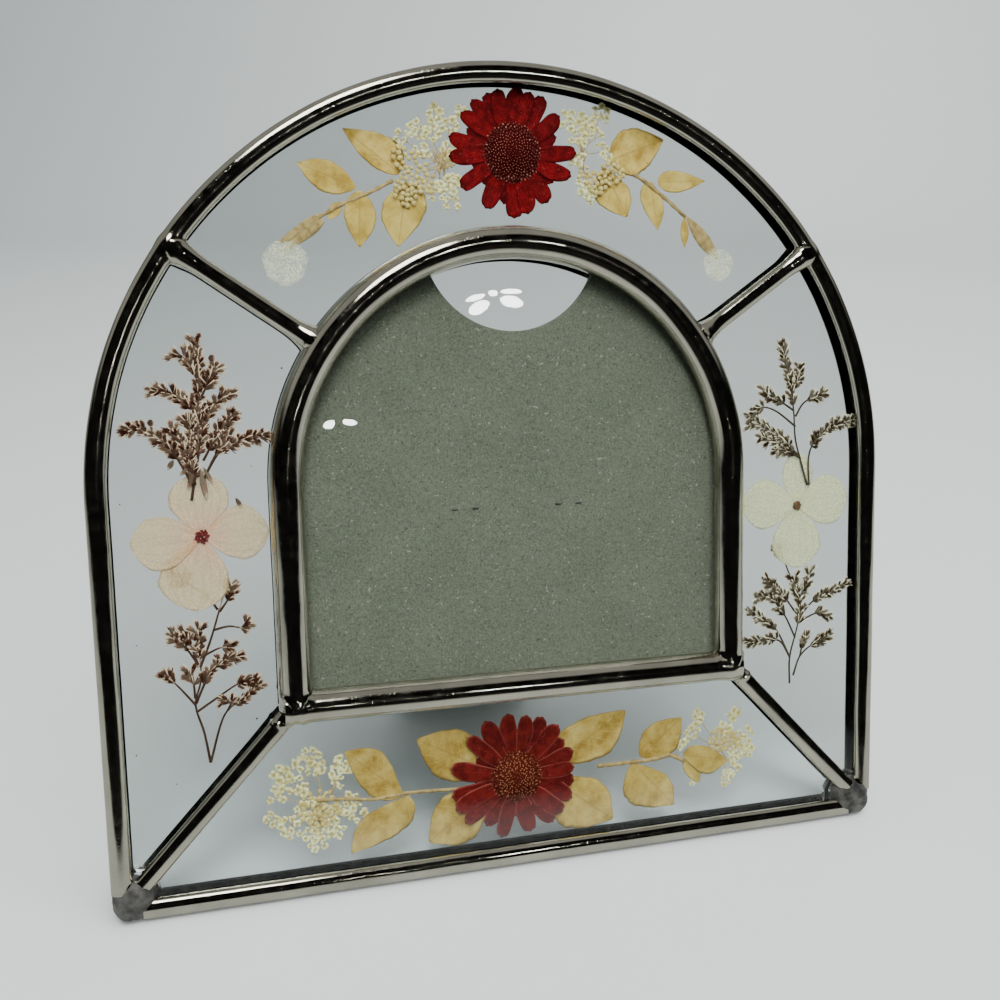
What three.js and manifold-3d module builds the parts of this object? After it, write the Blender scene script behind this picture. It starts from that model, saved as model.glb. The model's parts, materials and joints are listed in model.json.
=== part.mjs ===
// Pressed flower frame: an arch-shaped leaded-glass photo frame that leans on a hinged strut.
// Four double-glazed panels hold dried flowers round an arched photo opening.
//
// Millimetres. The frame is drawn flat, with X to the right, Y up the frame and Z towards
// the viewer, and is then stood up and leaned back. In the finished part +Z is up, the
// front faces -Y and the origin is under the middle of the bounding box.

import * as THREE from "three";
import { mergeVertices } from "three/addons/utils/BufferGeometryUtils.js";
import Module from "manifold-3d";

const wasm = await Module();
wasm.setup();

// ---------------------------------------------------------------- driving dimensions

const FRAME_WIDTH = 190;
const LEAN = THREE.MathUtils.degToRad(18);
const STRUT_OPENING = THREE.MathUtils.degToRad(40);
const GAP = 0.3; // between pieces that touch

const PANE = 2; // thickness of each flower pane
const FLOWER_GAP = 1.4; // between the two panes
const SLOT_HALF = PANE + FLOWER_GAP / 2 + 0.15; // half the came's slot

const OUTER_HALF = 2.3; // half the face width of the outer came
const OUTER_DOME = 1.6;
const OUTER_SPRING = 91.7; // height at which the outer arc starts
const OUTER_RADIUS = FRAME_WIDTH / 2 - OUTER_HALF; // centre line of the came

const INNER_HALF = 3.75;
const INNER_DOME = 3.9;
const INNER_SPRING = 93.9;
const INNER_RADIUS = 53.4;
const REAR_DOME = 1.5;
const SILL_HEIGHT = 44.2; // centre line of the sill

const WEB_OUTSIDE = 0.9; // the came's web, measured outwards from its centre line
const INNER_WEB_INSIDE = -0.6;

const SEAM_HALF = 2.1;
const SEAM_DOME = 1.5;
const SEAM_WEB_HALF = 0.6;
const UPPER_SEAM_ANGLE = THREE.MathUtils.degToRad(34.6);
const LOWER_SEAM_IN = new THREE.Vector2(55.6, 42.4);
const LOWER_SEAM_OUT = new THREE.Vector2(90.4, 5.3);

const PHOTO_GLASS = [0.75, 2.6]; // rear and front face
const BOARD = [-2.1, 0.1];
const NOTCH_RADIUS = 21;
const NOTCH_CENTRE = 148.5;

const HINGE_HEIGHT = 90;
const KNUCKLE_RADIUS = 1.5;
const PIN_RADIUS = 0.55;
const HINGE_DEPTH = BOARD[0] - GAP - KNUCKLE_RADIUS; // Z of the hinge axis
const LEAF_WIDTH = 32;
const LEAF_THICKNESS = 0.6;
const LEAF_LENGTH = 14;
const STRUT_THICKNESS = 2.2;
const STAPLE_X = 12.6;
const STAPLE_HEIGHT = 86.8;

// ---------------------------------------------------------------- materials

const finish = (color, roughness, metalness, opacity = 1) =>
  new THREE.MeshStandardMaterial({ color, roughness, metalness, opacity, transparent: opacity < 1 });

const materials = {
  polished: () => finish(0x8c8c88, 0.12, 1),
  dull: () => finish(0x6c6e6c, 0.55, 0.9),
  glass: () => finish(0xdfe8e6, 0.02, 0, 0.3),
  chipboard: () => finish(0x767668, 0.95, 0),
  steel: () => finish(0xa9a9a6, 0.35, 1),
  crimson: () => finish(0x7a1016, 0.8, 0),
  golden: () => finish(0xc6a45f, 0.75, 0),
  cream: () => finish(0xdcd6b8, 0.85, 0),
  brown: () => finish(0x5c4430, 0.9, 0),
};

// ---------------------------------------------------------------- solids and helpers

function toSolid(geometry) {
  const plain = geometry.index ? geometry.clone() : geometry;
  plain.deleteAttribute("normal");
  plain.deleteAttribute("uv");
  const merged = mergeVertices(plain, 1e-4);
  return new wasm.Manifold(new wasm.Mesh({
    numProp: 3,
    vertProperties: new Float32Array(merged.attributes.position.array),
    triVerts: new Uint32Array(merged.index.array),
  }));
}

/** Joining and cutting leaves needless short edges on flat faces, which simplify removes. */
function toGeometry(solid) {
  const { vertProperties, triVerts } = solid.asOriginal().simplify(0.003).getMesh();
  const geometry = new THREE.BufferGeometry();
  geometry.setAttribute("position", new THREE.BufferAttribute(vertProperties, 3));
  geometry.setIndex(new THREE.BufferAttribute(triVerts, 1));
  geometry.computeVertexNormals();
  return geometry;
}

const joined = (solids) => solids.reduce((whole, next) => whole.add(next));
const cut = (solid, cutters) => cutters.reduce((rest, cutter) => rest.subtract(cutter), solid);
const largest = (solid, count) =>
  solid.decompose().sort((a, b) => b.volume() - a.volume()).slice(0, count);

function box(low, high) {
  const size = high.map((value, i) => value - low[i]);
  const geometry = new THREE.BoxGeometry(...size);
  geometry.translate(...low.map((value, i) => value + size[i] / 2));
  return toSolid(geometry);
}

function ellipsoid(x, y, z, radii, around = 18, grow = 0) {
  const geometry = new THREE.SphereGeometry(1, around, Math.round(around / 2));
  geometry.scale(...radii.map((radius) => radius + grow));
  geometry.translate(x, y, z);
  return toSolid(geometry);
}

/** A flat piece: its outline lies in the frame's plane, from depth rear to depth front. */
function plate(outline, rear, front, curveSegments = 14) {
  const shape = outline instanceof THREE.Shape ? outline : new THREE.Shape(outline);
  const geometry = new THREE.ExtrudeGeometry(shape, {
    depth: front - rear,
    bevelEnabled: false,
    curveSegments,
  });
  geometry.translate(0, 0, rear);
  return toSolid(geometry);
}

/** Leg, half circle and leg: the centre line of a came, run anticlockwise. */
class ArchCurve extends THREE.Curve {
  constructor(radius, spring, foot) {
    super();
    Object.assign(this, { radius, spring, foot });
  }

  getPoint(t, target = new THREE.Vector3()) {
    const leg = this.spring - this.foot;
    const arc = Math.PI * this.radius;
    const along = t * (2 * leg + arc);
    if (along < leg) return target.set(this.radius, this.foot + along, 0);
    if (along > leg + arc) return target.set(-this.radius, this.spring - (along - leg - arc), 0);
    const angle = (along - leg) / this.radius;
    return target.set(
      this.radius * Math.cos(angle),
      this.spring + this.radius * Math.sin(angle),
      0,
    );
  }
}

/** Sweeps a came's section. Section points are [outwards, towards the viewer]. */
function sweep(section, curve, steps) {
  const shape = new THREE.Shape(section.map(([out, depth]) => new THREE.Vector2(-depth, -out)));
  return toSolid(new THREE.ExtrudeGeometry(shape, { extrudePath: curve, steps, bevelEnabled: false }));
}

const line = (from, to) =>
  new THREE.LineCurve3(new THREE.Vector3(...from, 0), new THREE.Vector3(...to, 0));

function dome(half, base, height, segments = 5) {
  const side = Math.sign(height);
  return Array.from({ length: segments + 1 }, (_, i) => {
    const angle = Math.PI * (1 - i / segments);
    return [side * half * Math.cos(angle), base + height * Math.sin(angle)];
  });
}

/** Outline of a came without its slots, for cutting its neighbours back. */
const fullSection = (half, front, rear, grow = 0) => [
  ...dome(half + grow, SLOT_HALF, front + grow),
  ...dome(half + grow, -SLOT_HALF, -rear - grow),
];

/** U section: one slot, open to the inside. */
const outerSection = [
  ...dome(OUTER_HALF, SLOT_HALF, OUTER_DOME),
  ...dome(OUTER_HALF, -SLOT_HALF, -REAR_DOME, 4),
  [WEB_OUTSIDE, -SLOT_HALF],
  [WEB_OUTSIDE, SLOT_HALF],
];

/** H section: the flower panes sit in the outer slot, photo glass and board in the inner one. */
function innerSection(frontDome) {
  const front = dome(INNER_HALF, SLOT_HALF, frontDome, 7);
  const rear = dome(INNER_HALF, -SLOT_HALF, -REAR_DOME, 4);
  return [
    ...front,
    [WEB_OUTSIDE, SLOT_HALF],
    [WEB_OUTSIDE, -SLOT_HALF],
    ...rear,
    [INNER_WEB_INSIDE, -SLOT_HALF],
    [INNER_WEB_INSIDE, SLOT_HALF],
  ];
}

const seamSection = [
  ...dome(SEAM_HALF, SLOT_HALF, SEAM_DOME),
  [SEAM_WEB_HALF, SLOT_HALF],
  [SEAM_WEB_HALF, -SLOT_HALF],
  ...dome(SEAM_HALF, -SLOT_HALF, -SEAM_DOME, 4),
  [-SEAM_WEB_HALF, -SLOT_HALF],
  [-SEAM_WEB_HALF, SLOT_HALF],
];

// ---------------------------------------------------------------- cutters

const OUTER_STEPS = 38;
const INNER_STEPS = 27;
const CORNERS = {
  left: { at: [-89.9, 5.8, 0], radii: [5.3, 5.2, 5] },
  right: { at: [88.9, 5.9, 0], radii: [6.3, 5.3, 5.1] },
};

const cornerLump = ({ at, radii }, grow = 0) => ellipsoid(...at, radii, 14, grow);
const grownCorners = Object.values(CORNERS).map((corner) => cornerLump(corner, GAP));

const outerCurve = new ArchCurve(OUTER_RADIUS, OUTER_SPRING, 2);
const innerCurve = new ArchCurve(INNER_RADIUS, INNER_SPRING, SILL_HEIGHT + INNER_HALF + 0.35);
const baseLine = line([-FRAME_WIDTH / 2 + 5, OUTER_HALF], [FRAME_WIDTH / 2 - 5, OUTER_HALF]);

const grownOuter = sweep(fullSection(OUTER_HALF, OUTER_DOME, REAR_DOME, GAP), outerCurve, OUTER_STEPS);
const grownInner = sweep(fullSection(INNER_HALF, INNER_DOME, REAR_DOME, GAP), innerCurve, INNER_STEPS);
const grownBase = sweep(fullSection(OUTER_HALF, OUTER_DOME, REAR_DOME, GAP), baseLine, 1);
const SILL_END = INNER_RADIUS + INNER_HALF;
const sillLine = (beyond) =>
  line([-SILL_END - beyond, SILL_HEIGHT], [SILL_END + beyond, SILL_HEIGHT]);
const grownSill = sweep(fullSection(INNER_HALF, INNER_DOME, REAR_DOME, GAP), sillLine(GAP), 1);
const slotSpace = box([-100, -10, -SLOT_HALF], [100, 200, SLOT_HALF]);

// ---------------------------------------------------------------- metalwork

function outerArch() {
  return cut(sweep(outerSection, outerCurve, OUTER_STEPS), grownCorners);
}

/** The base bar stands on a narrow flat, level once the frame is leaned back. */
function outerBase() {
  const flatCutter = new THREE.BoxGeometry(FRAME_WIDTH, 10, 20);
  flatCutter.rotateX(LEAN);
  flatCutter.translate(0, -5 / Math.cos(LEAN), 0);
  return cut(sweep(outerSection, baseLine, 1), [toSolid(flatCutter), ...grownCorners, grownOuter]);
}

function innerArch() {
  return sweep(innerSection(INNER_DOME), innerCurve, INNER_STEPS);
}

const SILL_LUMPS = [
  { at: [-51.3, 45.2], radii: [4.6, 3.6, 4.4] },
  { at: [51.6, 45.2], radii: [4, 3.2, 4.1] },
];

function innerSill() {
  const bar = sweep(innerSection(INNER_DOME), sillLine(0), 1);
  const lumps = SILL_LUMPS.map(({ at, radii }) => ellipsoid(...at, SLOT_HALF, radii, 14).subtract(slotSpace));
  const webStop = INNER_RADIUS + WEB_OUTSIDE;
  const webEnds = [-1, 1].map((side) => {
    const edges = [side * webStop, side * (SILL_END + 1)].sort((a, b) => a - b);
    return box([edges[0], SILL_HEIGHT - 5, -SLOT_HALF], [edges[1], SILL_HEIGHT + 5, SLOT_HALF]);
  });
  return cut(joined([bar, ...lumps]), [...webEnds, grownInner]);
}

/** Caps of solder on the front and the back where a seam meets a came. */
function knot([x, y], radius, height) {
  return ellipsoid(x, y, 0, [radius, radius, SLOT_HALF + height], 10).subtract(slotSpace);
}

function seam(inner, outer, knots) {
  const bar = sweep(seamSection, line(inner, outer), 1);
  const caps = knots.map(({ at, radius, height }) => knot(at, radius, height));
  const neighbours = [grownOuter, grownInner, grownBase, grownSill, ...grownCorners];
  return largest(cut(joined([bar, ...caps]), neighbours), 1)[0];
}

const polar = (radius, angle) => [
  radius * Math.cos(angle),
  INNER_SPRING + radius * Math.sin(angle),
];

function upperSeam(side) {
  const angle = side < 0 ? Math.PI - UPPER_SEAM_ANGLE : UPPER_SEAM_ANGLE;
  const reach = OUTER_RADIUS - (INNER_SPRING - OUTER_SPRING) * Math.sin(UPPER_SEAM_ANGLE);
  return seam(polar(INNER_RADIUS, angle), polar(reach, angle), [
    { at: polar(INNER_RADIUS + 3.6, angle), radius: 4.6, height: 3 },
    { at: polar(reach - 2, angle), radius: 3.2, height: 1.9 },
  ]);
}

function lowerSeam(side) {
  const inner = [side * LOWER_SEAM_IN.x, LOWER_SEAM_IN.y];
  const outer = [side * LOWER_SEAM_OUT.x, LOWER_SEAM_OUT.y];
  return seam(inner, outer, [{ at: [side * 57, 41], radius: 3.6, height: 2.4 }]);
}

// ---------------------------------------------------------------- glass and board

/** Leg, arc and leg, closed along the bottom. */
function archShape(radius, spring, foot) {
  const shape = new THREE.Shape();
  shape.moveTo(-radius, foot);
  shape.lineTo(radius, foot);
  shape.lineTo(radius, spring);
  shape.absarc(0, spring, radius, 0, Math.PI, false);
  shape.closePath();
  return shape;
}

function slab(from, to, half) {
  const along = new THREE.Vector2(...to).sub(new THREE.Vector2(...from)).normalize();
  const side = new THREE.Vector2(-along.y, along.x).multiplyScalar(half);
  const a = new THREE.Vector2(...from);
  const b = new THREE.Vector2(...to);
  return plate([a.clone().sub(side), b.clone().sub(side), b.clone().add(side), a.clone().add(side)], -10, 10);
}

/** The four panels between the cames and the seams, top, left, bottom and right. */
function panes(rear, front) {
  const outer = archShape(OUTER_RADIUS + WEB_OUTSIDE - GAP, OUTER_SPRING, OUTER_HALF - WEB_OUTSIDE + GAP);
  const inner = archShape(INNER_RADIUS + WEB_OUTSIDE + GAP, INNER_SPRING, SILL_HEIGHT - WEB_OUTSIDE - GAP);
  const half = SEAM_WEB_HALF + GAP;
  const beyond = LOWER_SEAM_OUT.clone().lerp(LOWER_SEAM_IN, -0.3);
  const within = LOWER_SEAM_IN.clone().lerp(LOWER_SEAM_OUT, -0.2);
  const slabs = [-1, 1].flatMap((side) => {
    const angle = side < 0 ? Math.PI - UPPER_SEAM_ANGLE : UPPER_SEAM_ANGLE;
    return [
      slab(polar(INNER_RADIUS - 3, angle), polar(OUTER_RADIUS + 10, angle), half),
      slab([side * within.x, within.y], [side * beyond.x, beyond.y], half),
    ];
  });
  const ring = plate(outer, rear, front, 18).subtract(plate(inner, rear - 1, front + 1, 22));
  const pieces = largest(cut(ring, [...slabs, ...grownCorners]), 4);
  const middle = (piece) => {
    const { min, max } = piece.boundingBox();
    return [(min[0] + max[0]) / 2, (min[1] + max[1]) / 2];
  };
  const pick = (better) => pieces.reduce((best, piece) =>
    better(middle(piece), middle(best)) ? piece : best);
  return {
    top: pick((a, b) => a[1] > b[1]),
    left: pick((a, b) => a[0] < b[0]),
    bottom: pick((a, b) => a[1] < b[1]),
    right: pick((a, b) => a[0] > b[0]),
  };
}

const frontPanes = panes(FLOWER_GAP / 2, FLOWER_GAP / 2 + PANE);
const rearPanes = panes(-FLOWER_GAP / 2 - PANE, -FLOWER_GAP / 2);

const OPENING_RADIUS = INNER_RADIUS + INNER_WEB_INSIDE - GAP;
const OPENING_FOOT = SILL_HEIGHT - INNER_WEB_INSIDE + GAP;

const photoGlass = () => plate(archShape(OPENING_RADIUS, INNER_SPRING, OPENING_FOOT), ...PHOTO_GLASS, 20);

const STAPLE_LEG = 3; // from the staple's middle to each leg
const STAPLE_WIRE = 0.7;

function stapleHoles(rear, front) {
  const half = STAPLE_WIRE / 2 + GAP;
  return [-1, 1].flatMap((side) => [-1, 1].map((leg) => {
    const x = side * STAPLE_X + leg * STAPLE_LEG;
    return box([x - half, STAPLE_HEIGHT - half, rear], [x + half, STAPLE_HEIGHT + half, front]);
  }));
}

function backingBoard() {
  const board = plate(archShape(OPENING_RADIUS, INNER_SPRING, OPENING_FOOT), ...BOARD, 20);
  const notch = new THREE.Shape();
  notch.absarc(0, NOTCH_CENTRE, NOTCH_RADIUS, 0, 2 * Math.PI, false);
  return cut(board, [plate(notch, BOARD[0] - 1, BOARD[1] + 1), ...stapleHoles(BOARD[0] - 1, BOARD[1] + 1)]);
}

// ---------------------------------------------------------------- hinge and strut

const LEAF_FACE = BOARD[0] - GAP; // the face of the board's leaf that lies on the board

/** Solid rod along the hinge axis. */
function rod(radius, from, to) {
  const geometry = new THREE.CylinderGeometry(radius, radius, to - from, 12);
  geometry.rotateZ(Math.PI / 2);
  geometry.translate((from + to) / 2, 0, 0);
  return toSolid(geometry);
}

const bore = rod(PIN_RADIUS + GAP, -LEAF_WIDTH, LEAF_WIDTH);
const knuckle = (from, to) => rod(KNUCKLE_RADIUS, from, to).subtract(bore);
const CENTRE_KNUCKLE = 5; // half its length
const WINDOW_HEIGHT = KNUCKLE_RADIUS + 0.5; // cut in the board's leaf for the centre knuckle

/** The board's leaf, about the hinge axis: it hangs in front of the axis from two outer knuckles. */
function boardLeaf() {
  const depth = LEAF_FACE - HINGE_DEPTH;
  const leaf = box([-LEAF_WIDTH / 2, -LEAF_LENGTH, depth - LEAF_THICKNESS], [LEAF_WIDTH / 2, 0, depth]);
  const windowHalf = CENTRE_KNUCKLE + GAP;
  const window = box([-windowHalf, -WINDOW_HEIGHT, -9], [windowHalf, 1, 9]);
  const tubes = [-1, 1].map((side) => {
    const ends = [side * windowHalf, side * LEAF_WIDTH / 2].sort((a, b) => a - b);
    return knuckle(...ends);
  });
  const holes = stapleHoles(BOARD[0] - 5, BOARD[1] + 5)
    .map((hole) => hole.translate([0, -HINGE_HEIGHT, -HINGE_DEPTH]));
  return cut(joined([leaf.subtract(window), ...tubes]), holes);
}

const STRUT_FACE = -KNUCKLE_RADIUS - GAP; // the strut's front face, folded flat
const STRUT_LEAF_HALF = LEAF_WIDTH / 2 - 3;

/** The strut's leaf, folded flat: it hangs from the middle knuckle, behind the axis. */
function strutLeaf() {
  const rear = -KNUCKLE_RADIUS;
  const face = rear + LEAF_THICKNESS;
  const leaf = box([-STRUT_LEAF_HALF, -LEAF_LENGTH, rear], [STRUT_LEAF_HALF, -WINDOW_HEIGHT, face]);
  const tongue = box([-CENTRE_KNUCKLE, -WINDOW_HEIGHT - 1, rear], [CENTRE_KNUCKLE, 0, face]);
  return joined([leaf, tongue, knuckle(-CENTRE_KNUCKLE, CENTRE_KNUCKLE)]).subtract(bore);
}

const STRUT_TOP_HALF = 15;
const STRUT_FOOT_HALF = 20;
const STRUT_TOP = -2.2;
const STRUT_SHOULDER = -20; // below it the strut widens towards its foot

/** The strut, folded flat. Its foot is cut level for the open position. */
function strutPlate(length) {
  const outline = [
    [-STRUT_FOOT_HALF, -length - 5],
    [STRUT_FOOT_HALF, -length - 5],
    [STRUT_TOP_HALF, STRUT_SHOULDER],
    [STRUT_TOP_HALF, STRUT_TOP],
    [-STRUT_TOP_HALF, STRUT_TOP],
    [-STRUT_TOP_HALF, STRUT_SHOULDER],
  ].map(([x, y]) => new THREE.Vector2(x, y));
  const strut = plate(outline, STRUT_FACE - STRUT_THICKNESS, STRUT_FACE);
  const ground = new THREE.BoxGeometry(80, 40, 80);
  ground.translate(0, -20, 0);
  ground.rotateX(-(STRUT_OPENING - LEAN));
  ground.translate(0, -length, 0);
  return strut.subtract(toSolid(ground));
}

/** Length along the strut from the hinge axis to the table, with the strut open. */
function strutLength() {
  const axisHeight = HINGE_HEIGHT * Math.cos(LEAN) + HINGE_DEPTH * Math.sin(LEAN);
  return axisHeight / Math.cos(STRUT_OPENING - LEAN);
}

/** A wire staple through the hinge leaf and the board, clinched over the board's face. */
function staple(x) {
  const crown = LEAF_FACE - LEAF_THICKNESS - GAP;
  const clinch = BOARD[1] + 0.05;
  const outer = STAPLE_LEG + STAPLE_WIRE / 2;
  const inner = STAPLE_LEG - STAPLE_WIRE / 2;
  const profile = new THREE.Shape([
    [-outer, crown - STAPLE_WIRE],
    [outer, crown - STAPLE_WIRE],
    [outer, clinch + 0.45],
    [0.4, clinch + 0.45],
    [0.4, clinch],
    [inner, clinch],
    [inner, crown],
    [-inner, crown],
    [-inner, clinch],
    [-0.4, clinch],
    [-0.4, clinch + 0.45],
    [-outer, clinch + 0.45],
  ].map(([across, depth]) => new THREE.Vector2(across, -depth)));
  const geometry = new THREE.ExtrudeGeometry(profile, { depth: STAPLE_WIRE, bevelEnabled: false });
  geometry.translate(0, 0, -STAPLE_WIRE / 2);
  geometry.rotateX(-Math.PI / 2);
  geometry.translate(x, STAPLE_HEIGHT, 0);
  return toSolid(geometry);
}

// ---------------------------------------------------------------- pressed flowers

const LAYER = {
  rear: [-0.6, -0.25],
  middle: [-0.17, 0.17],
  front: [0.25, 0.6],
};

/** Pointed oval from base to tip, with its widest part at the given share of its length. */
function leafOutline(base, tip, width, widest, points) {
  const from = new THREE.Vector2(...base);
  const along = new THREE.Vector2(...tip).sub(from);
  const across = new THREE.Vector2(-along.y, along.x).normalize();
  const bulge = (t) => Math.sin(Math.PI * Math.pow(t, Math.log(0.5) / Math.log(widest)));
  const edge = (side) => Array.from({ length: points }, (_, i) => {
    const t = (i + 0.5) / points;
    return from.clone().addScaledVector(along, t).addScaledVector(across, side * bulge(t) * width / 2);
  });
  return [from, ...edge(-1), new THREE.Vector2(...tip), ...edge(1).reverse()];
}

const leaf = (layer, base, tip, width, widest) => plate(leafOutline(base, tip, width, widest, 3), ...layer);

/** Stem: a narrow strip through the given points. */
function stem(layer, points, width = 0.9) {
  const strips = points.slice(1).map((to, i) => {
    const from = new THREE.Vector2(...points[i]);
    const end = new THREE.Vector2(...to);
    const along = end.clone().sub(from).normalize().multiplyScalar(width / 2);
    const side = new THREE.Vector2(-along.y, along.x);
    from.sub(along);
    end.add(along);
    return plate([
      from.clone().sub(side),
      end.clone().sub(side),
      end.clone().add(side),
      from.clone().add(side),
    ], ...layer);
  });
  return joined(strips);
}

/** Point on an ellipse about a centre, at a share of its reach. */
const around = ([x, y], [halfWidth, halfHeight], angle, reach) =>
  new THREE.Vector2(x + halfWidth * reach * Math.cos(angle), y + halfHeight * reach * Math.sin(angle));

/** Rough-edged disc that reaches the tips of a flower head. */
function disc(layer, centre, halfSizes, points = 18, scallop = 0.06) {
  const outline = Array.from({ length: points }, (_, i) =>
    around(centre, halfSizes, 2 * Math.PI * i / points, 1 - (i % 2) * scallop));
  return plate(outline, ...layer);
}

/** Daisy head: blunt petals with notches between them. */
function daisy(centre, halfSizes, petals) {
  const petalEdge = [[-0.5, 0.7], [-0.26, 0.95], [0, 1], [0.26, 0.95]]; // share of a petal, reach
  const outline = Array.from({ length: petals }, (_, i) => petalEdge.map(([share, reach]) =>
    around(centre, halfSizes, 2 * Math.PI * (i + share) / petals, reach)));
  return plate(outline.flat(), ...LAYER.front);
}

/** Four rounded petals about a small knot. */
function hydrangea(centre, petals) {
  const lobes = petals.map(([x, y, halfWidth, halfHeight]) =>
    disc(LAYER.middle, [x, y], [halfWidth, halfHeight], 12, 0));
  return joined([disc(LAYER.middle, centre, [3.5, 3.5], 6, 0), ...lobes]);
}

/** Branch ends of a statice sprig, each a slim pointed oval, on one stem. */
function statice(layer, stemPoints, branches) {
  const blades = branches.map(([base, tip, width]) =>
    plate(leafOutline(base, tip, width, 0.6, 2), ...layer));
  return joined([stem(layer, stemPoints), ...blades]);
}

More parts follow.
